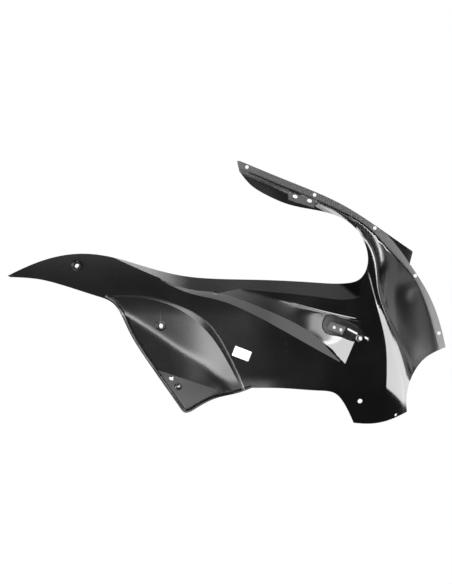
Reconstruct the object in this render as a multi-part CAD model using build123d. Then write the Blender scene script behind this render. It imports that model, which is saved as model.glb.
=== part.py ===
from build123d import *
import os
import numpy as np

# Left upper half-fairing side panel of a sports motorcycle: one thin moulding with a blank paper sticker.
# Millimetres. X forward, Y outwards (away from the engine), Z up.
# The origin lies midway between the two mirror-bolt holes, on the inner face of the mirror pad.
# Places on the panel are given as (x, z), and the depth y comes from the form of the inner face.

# Moulding
WALL = 2.8

# Side form: slope, start and softness of each bend of the side towards the middle of the machine
SCREEN_LEAN, SCREEN_LEAN_START, SCREEN_LEAN_SOFT = 0.55, -200.0, 160.0
TAIL_TAPER, TAIL_TAPER_START, TAIL_TAPER_SOFT = 0.22, -150.0, 150.0
NOSE_TAPER, NOSE_TAPER_START, NOSE_TAPER_SOFT = 0.22, -60.0, 80.0
BELLY_TUCK, BELLY_TUCK_START, BELLY_TUCK_SOFT = 0.40, -300.0, 40.0

# Shoulder between the side and the steep nose wall: x, z and the half-width of its rounding
SHOULDER = [(-150.0, 75.0, 10.0), (-44.0, 27.0, 10.0), (27.0, -4.0, 10.0), (81.0, -38.0, 12.0),
            (112.0, -76.0, 14.0), (123.0, -117.0, 12.0), (128.0, -155.0, 7.0), (140.0, -196.0, 8.0),
            (156.0, -242.0, 14.0), (168.0, -291.0, 24.0), (176.0, -345.0, 34.0), (180.0, -420.0, 44.0)]
SHOULDER_PATH_POINTS = 480
SHOULDER_ENTRY_SLOPE = 0.10
NOSE_WALL_SLOPE = 1.20

# Cockpit lip: the strip along the upper edge that folds inwards
LIP_CREASE = [(-311.0, -104.0), (-250.0, -131.0), (-195.0, -148.5), (-140.0, -150.5), (-72.0, -156.0),
              (29.0, -166.5), (84.0, -170.0), (119.0, -160.0)]
LIP_SLOPE = 0.60
LIP_END_X, LIP_END_SLOPE = 98.0, 0.50

# Blade crease, and the scoop above it
BLADE_LINE = [(-265.0, -124.0), (-195.0, -159.0), (-140.0, -172.5), (-102.0, -187.0), (-26.0, -227.0),
              (47.0, -268.0), (82.0, -287.0)]
BLADE_SLOPE = 0.40
SCOOP_TOP_LINE = [(-135.0, -144.5), (-38.0, -171.0), (47.0, -194.5), (115.0, -209.0)]
SCOOP_FLOOR_SLOPES = [(-285.0, 0.90), (-135.0, 0.80), (-38.0, 0.31), (0.0, 0.21), (47.0, 0.12),
                      (130.0, 0.08)]
SCOOP_END_LOW, SCOOP_END_HIGH = (82.0, -287.0), (115.0, -209.0)
SCOOP_END_SLOPE = 0.15

# Rear trough between the curved ridge and the rear ridge, and the tucked-in corner below them
RIDGE_LINE = [(-318.0, -165.0), (-268.5, -166.0), (-204.0, -183.0), (-176.5, -197.5), (-158.0, -214.0),
              (-139.5, -240.0), (-100.5, -318.0)]
RIDGE_STEEP, RIDGE_GENTLE = 0.50, 0.14
RIDGE_EASE_X, RIDGE_EASE = -160.0, 30.0
REAR_RIDGE_LINE = [(-306.0, -194.0), (-250.0, -229.0), (-195.0, -265.5), (-140.0, -306.0), (-122.5, -329.0)]
TROUGH_SLOPE = 0.11
REAR_TUCK = 0.40
CORNER_LINE = [(-243.5, -292.0), (-139.5, -326.5)]
CORNER_TUCK = 0.65

# Outline, clockwise as seen from inside
TAIL_TIP = (-501.0, -130.4)
UPPER_EDGE = [(-471.0, -116.0), (-425.0, -99.5), (-371.5, -92.7), (-323.0, -98.8), (-271.0, -113.6),
              (-204.0, -130.2), (-140.0, -135.7), (-72.0, -137.2), (25.0, -142.0), (74.5, -143.0),
              (98.0, -136.2), (110.0, -118.0), (110.0, -85.0), (81.0, -40.5), (40.0, -22.3),
              (-24.0, -8.7), (-58.0, 5.6), (-87.5, 24.0)]
ARM_END_LOW, ARM_END_HIGH = (-107.0, 47.0), (-111.0, 64.4)
SCREEN_EDGE = [(-105.5, 64.0), (-23.5, 30.4), (73.0, -12.6), (129.0, -48.8)]
TAB_TIP, TAB_FOOT = (186.0, -89.6), (181.0, -111.2)
NOSE_EDGE = [(183.0, -112.9), (211.5, -159.6), (236.0, -228.0), (241.0, -251.0)]
HEADLIGHT_EDGE = [(207.6, -270.3), (185.0, -305.2), (177.2, -341.5), (178.0, -361.6)]
LOWER_FRONT_EDGE = [(144.0, -377.2), (107.5, -382.3), (87.7, -380.8)]
NOTCH_EDGE = [(71.4, -347.3), (57.3, -331.5), (30.0, -326.4), (-35.5, -322.3), (-85.3, -321.8)]
STEP_EDGE = [(-106.5, -329.8), (-145.7, -339.0), (-187.3, -360.4)]
LOWER_REAR_CORNER = [(-199.5, -363.0), (-208.0, -354.5)]
REAR_EDGE = [(-265.0, -273.5), (-295.5, -224.0), (-308.0, -197.5), (-324.0, -176.0), (-349.0, -165.2),
             (-410.0, -145.8), (-448.0, -136.4), (-496.0, -132.8)]

# Windscreen flange, set inwards by a joggle so that the screen lies flush outside, and the tab on its edge
FLANGE_LINE = [(-113.0, 51.5), (-78.0, 40.5), (-44.5, 26.5), (-7.0, 11.5), (51.0, -14.0), (114.0, -51.0),
               (143.0, -82.0), (164.0, -105.0), (181.0, -125.0), (198.5, -155.0), (219.5, -215.5),
               (229.5, -254.0)]
FLANGE_JOGGLE = 3.5
EDGE_UNDER_TAB = [(129.0, -48.8), (143.0, -61.0), (158.5, -78.5), (183.0, -112.9)]
TAB_SETBACK = 1.2
SCREEN_HOLES = [(-94.0, 54.0), (21.0, 7.0), (123.0, -49.5), (190.5, -130.5), (230.0, -227.5)]
SCREEN_HOLE_DIAMETER = 6.0

# Mirror pad: a flat seat turned along the arm
MIRROR_HOLE_SPACING = 25.5
MIRROR_HOLE_DIAMETER = 9.0
MIRROR_PAD_LENGTH, MIRROR_PAD_ABOVE, MIRROR_PAD_BELOW = 49.0, 7.0, 10.5
MIRROR_PAD_CORNER = 3.0
MIRROR_PAD_TURN = 16.5
MIRROR_PAD_RISE = 1.5

# Turn-signal seat: a leaf-shaped recess with a raised two-hole plate, a ringed boss and two slots
SIGNAL_SEAT = (75.0, -221.0)
SIGNAL_LEAF = [(35.5, -221.0), (41.5, -198.5), (70.0, -203.5), (100.0, -221.5), (115.0, -238.5),
               (90.0, -243.0), (63.0, -234.0), (40.5, -228.0)]
SIGNAL_LEAF_DEPTH = 4.0
SIGNAL_SEAT_SPAN = 12.0
SIGNAL_PLATE = [(42.5, -221.5), (50.5, -207.5), (77.0, -217.5), (69.5, -231.5)]
SIGNAL_PLATE_RISE = 3.0
SIGNAL_HOLES = [(55.0, -218.6), (66.3, -222.7)]
SIGNAL_HOLE_DIAMETER = 5.6
SIGNAL_SLOTS = [((77.5, -220.7), (94.5, -229.7)), ((106.5, -235.0), (112.0, -238.0))]
SIGNAL_SLOT_WIDTH = 3.6
SIGNAL_BOSS, SIGNAL_BOSS_DIAMETER, SIGNAL_BOSS_HOLE = (99.5, -237.0), 13.5, 7.0
SIGNAL_BOSS_HEIGHT = 5.0

# Fixing bosses: place, hole, outside diameter and height
TAIL_BOSS, TAIL_BOSS_HOLE, TAIL_BOSS_DIAMETER, TAIL_BOSS_HEIGHT = (-383.5, -113.0), 8.2, 17.0, 5.0
SIDE_BOSS, SIDE_BOSS_HOLE, SIDE_BOSS_DIAMETER, SIDE_BOSS_HEIGHT = (-240.5, -215.5), 8.0, 16.0, 6.0
CORNER_BOSS, CORNER_BOSS_HOLE, CORNER_BOSS_DIAMETER, CORNER_BOSS_HEIGHT = (-211.0, -319.0), 6.5, 12.0, 2.5
BOSS_RIB_LENGTH, BOSS_RIB_WIDTH, BOSS_RIB_HEIGHT = 12.0, 2.0, 3.0

# Plain fixing holes
REAR_HOLE, REAR_HOLE_DIAMETER = (-222.5, -305.0), 8.8
FRONT_HOLE, FRONT_HOLE_DIAMETER = (98.6, -343.5), 8.4
CHIN_HOLE, CHIN_HOLE_DIAMETER = (158.6, -366.5), 5.5

# Paper sticker
STICKER_CENTRE = (-102.5, -263.3)
STICKER_LENGTH, STICKER_HEIGHT, STICKER_THICKNESS = 29.5, 17.0, 0.3
STICKER_TURN = 21.0
STICKER_GAP = 0.05

# Working blocks: how far they reach past the panel, and how closely their faces follow the formulas
SIDE_STEP_X, SIDE_STEP_Z = 60.0, 30.0
CREASE_STEP = 24.0
CREASE_ROWS = 5
SHOULDER_SECTIONS = 24
SHOULDER_ROUND_POINTS, NOSE_WALL_POINTS = 8, 3
SHOULDER_INSIDE, NOSE_REACH = 16.0, 92.0
PAST_EDGE = 24.0
SEAT_CLEAR = 20.0
OUTER_GROWTH, FLANGE_GROWTH = 4.0, 2.0
BLOCK_DEPTH, FOLD_EXTRA_DEPTH, NOSE_EXTRA_DEPTH, OUTER_EXTRA_DEPTH = 300.0, 300.0, 1200.0, 600.0
OUTLINE_DEPTH = 900.0


def smooth_line(points):
    """Natural cubic spline through a few (x, value) points, straight beyond both ends."""
    x, value = np.array(points, dtype=float).T
    gap = np.diff(x)
    rise = np.diff(value) / gap
    system = np.eye(len(x))
    bend = np.zeros(len(x))
    for i in range(1, len(x) - 1):
        system[i, i - 1:i + 2] = gap[i - 1], 2 * (gap[i - 1] + gap[i]), gap[i]
        bend[i] = 6 * (rise[i] - rise[i - 1])
    bend = np.linalg.solve(system, bend)
    start_slope = rise[0] - gap[0] * bend[1] / 6
    end_slope = rise[-1] + gap[-1] * bend[-2] / 6

    def line(q):
        q = np.asarray(q, dtype=float)
        inside = np.clip(q, x[0], x[-1])
        k = np.clip(np.searchsorted(x, inside) - 1, 0, len(x) - 2)
        u = (inside - x[k]) / gap[k]
        v = 1 - u
        wave = (v ** 3 - v) * bend[k] + (u ** 3 - u) * bend[k + 1]
        curve = v * value[k] + u * value[k + 1] + gap[k] ** 2 / 6 * wave
        return curve + np.minimum(q - x[0], 0) * start_slope + np.maximum(q - x[-1], 0) * end_slope

    return line


def along(points, count):
    """Points on a smooth curve through hand-placed points, with the same number between each two."""
    number = np.arange(len(points), dtype=float)
    places = np.linspace(0, len(points) - 1, count)
    columns = [smooth_line(list(zip(number, column)))(places) for column in np.array(points).T]
    return np.stack(columns, axis=1)


SHOULDER_PATH = along(SHOULDER, SHOULDER_PATH_POINTS)


def shoulder_at(x, z):
    """Signed distance past the shoulder, positive on the nose side, and the shoulder's rounding there."""
    place = np.stack(np.broadcast_arrays(x, z), axis=-1).astype(float)[..., None, :]
    start, step = SHOULDER_PATH[:-1, :2], np.diff(SHOULDER_PATH[:, :2], axis=0)
    share = np.clip(((place - start) * step).sum(-1) / (step ** 2).sum(-1), 0, 1)
    offset = place - (start + share[..., None] * step)
    distance = np.hypot(offset[..., 0], offset[..., 1])
    nearest = distance.argmin(-1)
    turn = step[:, 0] * offset[..., 1] - step[:, 1] * offset[..., 0]
    pick = nearest[..., None]
    side_of = np.sign(np.take_along_axis(turn, pick, -1)[..., 0])
    return side_of * np.take_along_axis(distance, pick, -1)[..., 0], SHOULDER_PATH[nearest, 2]


def bow(distance, soft):
    """Nothing before the start of a bend, then a soft start and a straight run of slope one."""
    return np.sqrt(np.maximum(distance, 0) ** 2 + soft ** 2) - soft


def nose_drop(distance, half):
    """Fall of the nose wall: a faint edge, a round of twice the half-width, then the wall's own slope."""
    past = distance + half
    round_part = np.clip(past, 0, 2 * half) ** 2 / (4 * half)
    wall_part = np.maximum(past - 2 * half, 0)
    return SHOULDER_ENTRY_SLOPE * past + (NOSE_WALL_SLOPE - SHOULDER_ENTRY_SLOPE) * (round_part + wall_part)


lip_crease = smooth_line(LIP_CREASE)
blade_line = smooth_line(BLADE_LINE)
scoop_top = smooth_line(SCOOP_TOP_LINE)
scoop_floor_slope = smooth_line(SCOOP_FLOOR_SLOPES)
ridge_line = smooth_line(RIDGE_LINE)
rear_ridge = smooth_line(REAR_RIDGE_LINE)
corner_line = smooth_line(CORNER_LINE)


def side_form(x, z):
    screen = SCREEN_LEAN * bow(z - SCREEN_LEAN_START, SCREEN_LEAN_SOFT)
    tail = TAIL_TAPER * bow(TAIL_TAPER_START - x, TAIL_TAPER_SOFT)
    nose = NOSE_TAPER * bow(x - NOSE_TAPER_START, NOSE_TAPER_SOFT)
    belly = BELLY_TUCK * bow(BELLY_TUCK_START - z, BELLY_TUCK_SOFT)
    return -(screen + tail + nose + belly)


SIDE_Y = MIRROR_PAD_RISE - float(side_form(0.0, 0.0))


def side(x, z):
    """Inner face of the smooth side, which passes just outboard of the mirror pad."""
    return SIDE_Y + side_form(x, z)


def nose(x, z):
    return side(x, z) - nose_drop(*shoulder_at(x, z))


def flange(x, z):
    return nose(x, z) - FLANGE_JOGGLE


def lip(x, z):
    return side(x, z) - LIP_SLOPE * (z - lip_crease(x))


def lip_end(x, z):
    return side(x, z) - LIP_END_SLOPE * (LIP_END_X - x)


def blade(x, z):
    return side(x, z) + BLADE_SLOPE * (z - blade_line(x))


def scoop(x, z):
    return side(x, z) + scoop_floor_slope(x) * (scoop_top(x) - z)


def scoop_end(x, z):
    lean = (SCOOP_END_HIGH[0] - SCOOP_END_LOW[0]) / (SCOOP_END_HIGH[1] - SCOOP_END_LOW[1])
    end_x = SCOOP_END_LOW[0] + lean * (z - SCOOP_END_LOW[1])
    return side(x, z) + SCOOP_END_SLOPE * (end_x - x)


def ridge(x, z):
    ease = (1 + np.tanh((x - RIDGE_EASE_X) / RIDGE_EASE)) / 2
    slope = RIDGE_STEEP + (RIDGE_GENTLE - RIDGE_STEEP) * ease
    return side(x, z) + slope * (ridge_line(x) - z)


def trough(x, z):
    return side(x, z) + TROUGH_SLOPE * (z - rear_ridge(x))


def rear(x, z):
    return side(x, z) - REAR_TUCK * (rear_ridge(x) - z)


def corner(x, z):
    return rear(x, z) - (CORNER_TUCK - REAR_TUCK) * (corner_line(x) - z)


def inner(x, z):
    """Inner face with all its creases, without the joggle and the seats."""
    face = np.maximum(side(x, z), np.minimum.reduce([blade(x, z), scoop(x, z), scoop_end(x, z)]))
    face = np.maximum(face, np.minimum(ridge(x, z), trough(x, z)))
    folded = np.maximum(lip(x, z), lip_end(x, z))
    return np.minimum.reduce([face, folded, rear(x, z), corner(x, z), nose(x, z)])


def slopes(height, x, z, reach=0.5):
    """Rise of a face along X and along Z."""
    along_x = (height(x + reach, z) - height(x - reach, z)) / (2 * reach)
    along_z = (height(x, z + reach) - height(x, z - reach)) / (2 * reach)
    return along_x, along_z


def moved(height, wall):
    """The same face moved outwards, square to itself."""
    def face(x, z):
        along_x, along_z = slopes(height, x, z)
        return height(x, z) + wall * np.sqrt(1 + along_x ** 2 + along_z ** 2)
    return face


def skin(columns_x, columns_z, height):
    """Smooth face lofted over section curves, one for each column of places."""
    sections = []
    for x, z in zip(columns_x, columns_z):
        sections.append(Wire(Spline(*[Vector(*p) for p in zip(x, height(x, z), z)])))
    return Shell.make_loft(sections).faces()[0]


def patch(height, low, high, step=CREASE_STEP, rows=CREASE_ROWS):
    """Smooth face over a rectangle."""
    stations = np.linspace(low[0], high[0], 1 + round((high[0] - low[0]) / step))
    column = np.linspace(low[1], high[1], rows)
    return skin([np.full(rows, x) for x in stations], [column] * len(stations), height)


def shoulder_patch(height, grow):
    """Smooth face over a band along the shoulder, from sections square to it."""
    walked = np.cumsum(np.hypot(*np.diff(SHOULDER_PATH[:, :2], axis=0).T))
    stations = np.linspace(0, walked[-1], SHOULDER_SECTIONS)[:-1]
    path = np.stack([np.interp(stations, walked, column[1:]) for column in SHOULDER_PATH.T], axis=1)
    run = np.gradient(path[:, :2], axis=0)
    run /= np.linalg.norm(run, axis=1)[:, None]
    columns_x, columns_z = [], []
    for (x, z, half), (run_x, run_z) in zip(path, run):
        round_part = np.linspace(-half - SHOULDER_INSIDE - grow, half, SHOULDER_ROUND_POINTS)
        wall_part = np.linspace(half, NOSE_REACH + grow, 1 + NOSE_WALL_POINTS)[1:]
        across = np.concatenate([round_part, wall_part])
        columns_x.append(x - across * run_z)
        columns_z.append(z + across * run_x)
    return skin(columns_x, columns_z, height)


def behind(face, extra=0.0):
    """Everything outboard of a face."""
    return Solid.extrude(face, Vector(0, BLOCK_DEPTH + extra, 0))


def ahead(face):
    """Everything inboard of a face."""
    return Solid.extrude(face, Vector(0, -BLOCK_DEPTH, 0))


def places(points):
    return [Vector(x, -BLOCK_DEPTH, z) for x, z in points]


def prism(edges):
    """A closed outline in X and Z carried right through the panel along Y."""
    return extrude(make_face(edges), amount=OUTLINE_DEPTH, dir=(0, 1, 0))


def shifted(points, distance):
    """The same open line moved sideways, to the left of its own direction."""
    line = np.array(points)
    run = np.gradient(line, axis=0)
    run /= np.linalg.norm(run, axis=1)[:, None]
    return [tuple(p) for p in line + distance * np.stack([-run[:, 1], run[:, 0]], axis=1)]


def window(points, grow, above, below):
    """Rectangle in X and Z round a line, for the block that a crease works on."""
    line = np.array(points)
    low = line.min(axis=0) - (PAST_EDGE + grow, below + grow)
    high = line.max(axis=0) + (PAST_EDGE + grow, above + grow)
    return low, high


def panel_outline():
    chains = [[TAIL_TIP] + UPPER_EDGE + [ARM_END_LOW], SCREEN_EDGE, NOSE_EDGE,
              NOSE_EDGE[-1:] + HEADLIGHT_EDGE, HEADLIGHT_EDGE[-1:] + LOWER_FRONT_EDGE,
              LOWER_FRONT_EDGE[-1:] + NOTCH_EDGE, NOTCH_EDGE[-1:] + STEP_EDGE,
              STEP_EDGE[-1:] + LOWER_REAR_CORNER, LOWER_REAR_CORNER[-1:] + REAR_EDGE]
    straights = [[ARM_END_LOW, ARM_END_HIGH, SCREEN_EDGE[0]],
                 [SCREEN_EDGE[-1], TAB_TIP, TAB_FOOT, NOSE_EDGE[0]],
                 [REAR_EDGE[-1], TAIL_TIP]]
    return prism([Spline(*places(c)) for c in chains] + [Polyline(*places(c)) for c in straights])


def flange_strip(inset):
    """Everything on the screen side of the flange's inner line."""
    line = shifted(FLANGE_LINE, inset)
    right, top = NOSE_EDGE[-1][0] + 2 * PAST_EDGE, ARM_END_HIGH[1] + PAST_EDGE
    left = ARM_END_HIGH[0] - PAST_EDGE / 2
    far_side = [line[-1], (right, line[-1][1]), (right, top), (left, top), (left, line[0][1]), line[0]]
    return prism([Spline(*places(line)), Polyline(*places(far_side))])


def tab_step():
    """What the tab lacks on its inner face, beyond the flange's own edge."""
    (left, top), (right, bottom) = EDGE_UNDER_TAB[0], EDGE_UNDER_TAB[-1]
    far_side = [(right, bottom), (right + PAST_EDGE, bottom), (right + PAST_EDGE, top), (left, top)]
    beyond_edge = prism([Spline(*places(EDGE_UNDER_TAB)), Polyline(*places(far_side))])
    return ahead(shoulder_patch(moved(flange, TAB_SETBACK), 0.0)) & beyond_edge


def solid_outboard(wall, grow, extra):
    """Everything outboard of the inner face, or of the outer face when it is given the wall."""
    def face_of(height):
        return moved(height, wall)

    everywhere = (np.array([TAIL_TIP[0], LOWER_FRONT_EDGE[1][1]]) - PAST_EDGE - grow,
                  np.array([NOSE_EDGE[-1][0], ARM_END_HIGH[1]]) + PAST_EDGE + grow)
    side_rows = 1 + round((everywhere[1][1] - everywhere[0][1]) / SIDE_STEP_Z)
    block = behind(patch(face_of(side), *everywhere, SIDE_STEP_X, side_rows), extra)

    scoop_area = window(BLADE_LINE + SCOOP_TOP_LINE, grow, 0.0, PAST_EDGE)
    groove = ahead(patch(face_of(blade), *scoop_area))
    groove &= ahead(patch(face_of(scoop), *scoop_area))
    groove &= ahead(patch(face_of(scoop_end), *scoop_area))
    block -= groove

    trough_area = window(RIDGE_LINE + REAR_RIDGE_LINE, grow, PAST_EDGE, PAST_EDGE)
    block -= ahead(patch(face_of(ridge), *trough_area)) & ahead(patch(face_of(trough), *trough_area))

    block += behind(shoulder_patch(face_of(nose), grow), NOSE_EXTRA_DEPTH + extra)
    screen_side = behind(shoulder_patch(face_of(flange), grow + FLANGE_GROWTH), NOSE_EXTRA_DEPTH + extra)
    block += screen_side & flange_strip(wall)
    lip_area = window(LIP_CREASE, grow, PAST_EDGE, PAST_EDGE)
    fold = behind(patch(face_of(lip), *lip_area), FOLD_EXTRA_DEPTH + extra)
    block += fold & behind(patch(face_of(lip_end), *lip_area), FOLD_EXTRA_DEPTH + extra)
    rear_area = window(REAR_RIDGE_LINE, grow, PAST_EDGE, 2 * PAST_EDGE)
    block += behind(patch(face_of(rear), *rear_area), FOLD_EXTRA_DEPTH + extra)
    corner_area = window(CORNER_LINE, grow, PAST_EDGE, 3 * PAST_EDGE)
    block += behind(patch(face_of(corner), *corner_area), FOLD_EXTRA_DEPTH + extra)

    block = flat_seat(block, mirror_plane().offset(-wall), mirror_pad(wall), mirror_pad(0.0))
    floor = signal_plane().offset(-wall)
    block -= extrude(floor * leaf_sketch(wall), amount=SEAT_CLEAR)
    plate = floor.offset(SIGNAL_PLATE_RISE) * plate_sketch(wall)
    block += extrude(plate, amount=-(SIGNAL_PLATE_RISE + SEAT_CLEAR))
    return block


def seat(place, height=inner, reach=2.0):
    """Plane on a face at a place, square to the face, looking inwards, with its x forwards and its y up."""
    x, z = place
    along_x, along_z = slopes(height, x, z, reach)
    return Plane(origin=(x, float(height(x, z)), z), x_dir=(1, along_x, 0), z_dir=(along_x, -1, along_z))


def on_plane(plane, points):
    """Places of the panel dropped along Y onto a plane, in the plane's own coordinates."""
    normal, origin = plane.z_dir, plane.origin
    dropped = []
    for x, z in points:
        y = origin.Y - (normal.X * (x - origin.X) + normal.Z * (z - origin.Z)) / normal.Y
        local = plane.to_local_coords(Vector(x, y, z))
        dropped.append((local.X, local.Y))
    return dropped


def grown(points, amount):
    """The same closed outline with each point moved away from the middle."""
    line = np.array(points)
    away = line - line.mean(axis=0)
    away /= np.linalg.norm(away, axis=1)[:, None]
    return [tuple(p) for p in line + amount * away]


def mirror_plane():
    """Plane of the mirror pad through the origin, with its x along the two holes."""
    along_x, along_z = slopes(side, 0.0, 0.0)
    turn = np.radians(-MIRROR_PAD_TURN)
    forward, up = np.cos(turn), np.sin(turn)
    return Plane(origin=(0, 0, 0), x_dir=(forward, along_x * forward + along_z * up, up),
                 z_dir=(along_x, -1, along_z))


def mirror_pad(grow):
    length = MIRROR_PAD_LENGTH + 2 * grow
    height = MIRROR_PAD_ABOVE + MIRROR_PAD_BELOW + 2 * grow
    middle = (MIRROR_PAD_ABOVE - MIRROR_PAD_BELOW) / 2
    return Pos(0, middle) * RectangleRounded(length, height, MIRROR_PAD_CORNER)


def flat_seat(block, plane, cut, fill):
    """Flatten a block's face onto a plane within a sketch."""
    return block - extrude(plane * cut, amount=SEAT_CLEAR) + extrude(plane * fill, amount=-SEAT_CLEAR)


def signal_plane():
    """Floor of the turn-signal recess."""
    return seat(SIGNAL_SEAT, reach=SIGNAL_SEAT_SPAN).offset(-SIGNAL_LEAF_DEPTH)


def leaf_sketch(grow):
    return make_face(Spline(*on_plane(signal_plane(), grown(SIGNAL_LEAF, grow)), periodic=True))


def plate_sketch(shrink):
    return make_face(Polyline(*on_plane(signal_plane(), grown(SIGNAL_PLATE, -shrink)), close=True))


def boss(place, diameter, height):
    return extrude(seat(place).offset(-WALL / 2) * Circle(diameter / 2), amount=height + WALL / 2)


def hole(plane, diameter):
    return extrude(plane * Circle(diameter / 2), amount=SEAT_CLEAR, both=True)


def slot(plane, ends, width):
    (x0, y0), (x1, y1) = on_plane(plane, ends)
    length = np.hypot(x1 - x0, y1 - y0)
    turn = np.degrees(np.arctan2(y1 - y0, x1 - x0))
    sketch = Pos((x0 + x1) / 2, (y0 + y1) / 2) * Rot(0, 0, turn) * Rectangle(length, width)
    return extrude(plane * sketch, amount=SEAT_CLEAR, both=True)


def fairing_panel():
    panel = panel_outline() & solid_outboard(0.0, 0.0, 0.0)
    panel -= solid_outboard(WALL, OUTER_GROWTH, OUTER_EXTRA_DEPTH)
    panel -= tab_step()

    rib_plane = seat(SIDE_BOSS)
    rib_middle = (SIDE_BOSS_DIAMETER + BOSS_RIB_LENGTH) / 2
    rib_length = BOSS_RIB_LENGTH + SIDE_BOSS_DIAMETER - SIDE_BOSS_HOLE
    rib = Pos(0, rib_middle) * Rectangle(BOSS_RIB_WIDTH, rib_length)
    floor = signal_plane()
    signal_boss = Pos(*on_plane(floor, [SIGNAL_BOSS])[0]) * Circle(SIGNAL_BOSS_DIAMETER / 2)
    panel += [boss(TAIL_BOSS, TAIL_BOSS_DIAMETER, TAIL_BOSS_HEIGHT),
              boss(SIDE_BOSS, SIDE_BOSS_DIAMETER, SIDE_BOSS_HEIGHT),
              boss(CORNER_BOSS, CORNER_BOSS_DIAMETER, CORNER_BOSS_HEIGHT),
              extrude(rib_plane.offset(-WALL / 2) * rib, amount=BOSS_RIB_HEIGHT + WALL / 2),
              extrude(floor.offset(-WALL / 2) * signal_boss, amount=SIGNAL_BOSS_HEIGHT + WALL / 2)]

    cuts = [hole(seat(place, flange), SCREEN_HOLE_DIAMETER) for place in SCREEN_HOLES]
    for shift in (-MIRROR_HOLE_SPACING / 2, MIRROR_HOLE_SPACING / 2):
        cuts.append(hole(mirror_plane() * Pos(shift, 0), MIRROR_HOLE_DIAMETER))
    fixings = [(TAIL_BOSS, TAIL_BOSS_HOLE), (SIDE_BOSS, SIDE_BOSS_HOLE), (CORNER_BOSS, CORNER_BOSS_HOLE),
               (REAR_HOLE, REAR_HOLE_DIAMETER), (FRONT_HOLE, FRONT_HOLE_DIAMETER),
               (CHIN_HOLE, CHIN_HOLE_DIAMETER)]
    cuts += [hole(seat(place), diameter) for place, diameter in fixings]
    signal_holes = [(place, SIGNAL_HOLE_DIAMETER) for place in SIGNAL_HOLES]
    for place, diameter in signal_holes + [(SIGNAL_BOSS, SIGNAL_BOSS_HOLE)]:
        cuts.append(hole(floor * Pos(*on_plane(floor, [place])[0]), diameter))
    cuts += [slot(floor, ends, SIGNAL_SLOT_WIDTH) for ends in SIGNAL_SLOTS]
    return panel - cuts


def paper_sticker():
    plane = seat(STICKER_CENTRE).offset(STICKER_GAP)
    return extrude(plane * Rot(0, 0, -STICKER_TURN) * Rectangle(STICKER_LENGTH, STICKER_HEIGHT),
                   amount=STICKER_THICKNESS)


os.makedirs("parts", exist_ok=True)
export_step(fairing_panel(), "parts/fairing_panel.step")
export_step(paper_sticker(), "parts/paper_sticker.step")
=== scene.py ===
"""Looks of a motorcycle fairing side panel: a black moulding with a blank paper sticker, in a soft studio.

Places on the panel are (x, z) in millimetres: x forward, z up. The depth y, outwards, follows from the form
of the inner face. They become metres when a mesh is made; the studio is laid out in metres. The origin lies
midway between the mirror-bolt holes.
"""
import logging
from dataclasses import dataclass, field
from enum import Enum

import bpy
import numpy as np
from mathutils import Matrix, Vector
from mathutils.geometry import delaunay_2d_cdt


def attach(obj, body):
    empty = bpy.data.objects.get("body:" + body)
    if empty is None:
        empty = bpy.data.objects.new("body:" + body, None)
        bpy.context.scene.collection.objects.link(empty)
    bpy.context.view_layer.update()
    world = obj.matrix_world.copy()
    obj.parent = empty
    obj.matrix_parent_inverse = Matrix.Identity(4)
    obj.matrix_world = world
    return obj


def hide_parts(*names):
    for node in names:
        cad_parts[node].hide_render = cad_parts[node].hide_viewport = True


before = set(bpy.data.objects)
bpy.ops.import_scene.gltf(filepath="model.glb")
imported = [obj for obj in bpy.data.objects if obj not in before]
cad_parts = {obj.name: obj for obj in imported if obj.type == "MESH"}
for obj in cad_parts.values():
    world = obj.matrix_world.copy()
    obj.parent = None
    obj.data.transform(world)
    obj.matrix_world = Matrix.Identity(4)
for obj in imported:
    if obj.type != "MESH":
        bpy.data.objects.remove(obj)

LOG = logging.getLogger("fairing")
MM = 0.001
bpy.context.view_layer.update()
CURVE_SAMPLES = 40
DISTANCE_BATCH = 2_000_000
CROSSING_BATCH = 4_000_000
WHITE = (1.0, 1.0, 1.0, 1.0)
Span = tuple[float, float]
Place = tuple[float, float]
Places = tuple[Place, ...]
Point = tuple[float, float, float]
Colour = tuple[float, float, float, float]
Faces = list[tuple[int, ...]]


class Slot(Enum):
    """Material slots of the record."""

    PLASTIC = "black_plastic"
    PAPER = "sticker_paper"


class Blend(Enum):
    """What a mix node blends: its data type, the numbers of its two inputs and of its output."""

    VALUE = ("FLOAT", 2, 3, 0)
    COLOUR = ("RGBA", 6, 7, 2)


def spline(points: Places | np.ndarray, query: np.ndarray) -> np.ndarray:
    """Natural cubic spline through (place, value) points, straight beyond both ends.

    The bends at the inner points solve the usual three-term system. Between two points the value is the
    straight share of both plus the cubic waves of their bends.

    Args:
        points: Rows of place and value, with rising places.
        query: Places where the value is wanted.

    Returns:
        The value at each place.
    """
    place, value = np.asarray(points, dtype=float).T
    gap = np.diff(place)
    rise = np.diff(value) / gap
    system = np.eye(len(place))
    inner = np.arange(1, len(place) - 1)
    system[inner, inner - 1] = gap[:-1]
    system[inner, inner] = 2 * (gap[:-1] + gap[1:])
    system[inner, inner + 1] = gap[1:]
    bend = np.zeros(len(place))
    bend[1:-1] = 6 * np.diff(rise)
    bend = np.linalg.solve(system, bend)
    inside = np.clip(query, place[0], place[-1])
    k = np.clip(np.searchsorted(place, inside) - 1, 0, len(place) - 2)
    u = (inside - place[k]) / gap[k]
    v = 1 - u
    wave = (v ** 3 - v) * bend[k] + (u ** 3 - u) * bend[k + 1]
    curve = v * value[k] + u * value[k + 1] + gap[k] ** 2 / 6 * wave
    before = np.minimum(query - place[0], 0) * (rise[0] - gap[0] * bend[1] / 6)
    after = np.maximum(query - place[-1], 0) * (rise[-1] + gap[-1] * bend[-2] / 6)
    return curve + before + after


def lengths_along(line: np.ndarray) -> np.ndarray:
    """Length of a polyline from its start to each of its points."""
    return np.concatenate([[0.0], np.cumsum(np.linalg.norm(np.diff(line, axis=0), axis=1))])


def closed(loop: np.ndarray) -> np.ndarray:
    """A loop with its first point once more at its end."""
    return np.concatenate([loop, loop[:1]])


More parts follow.
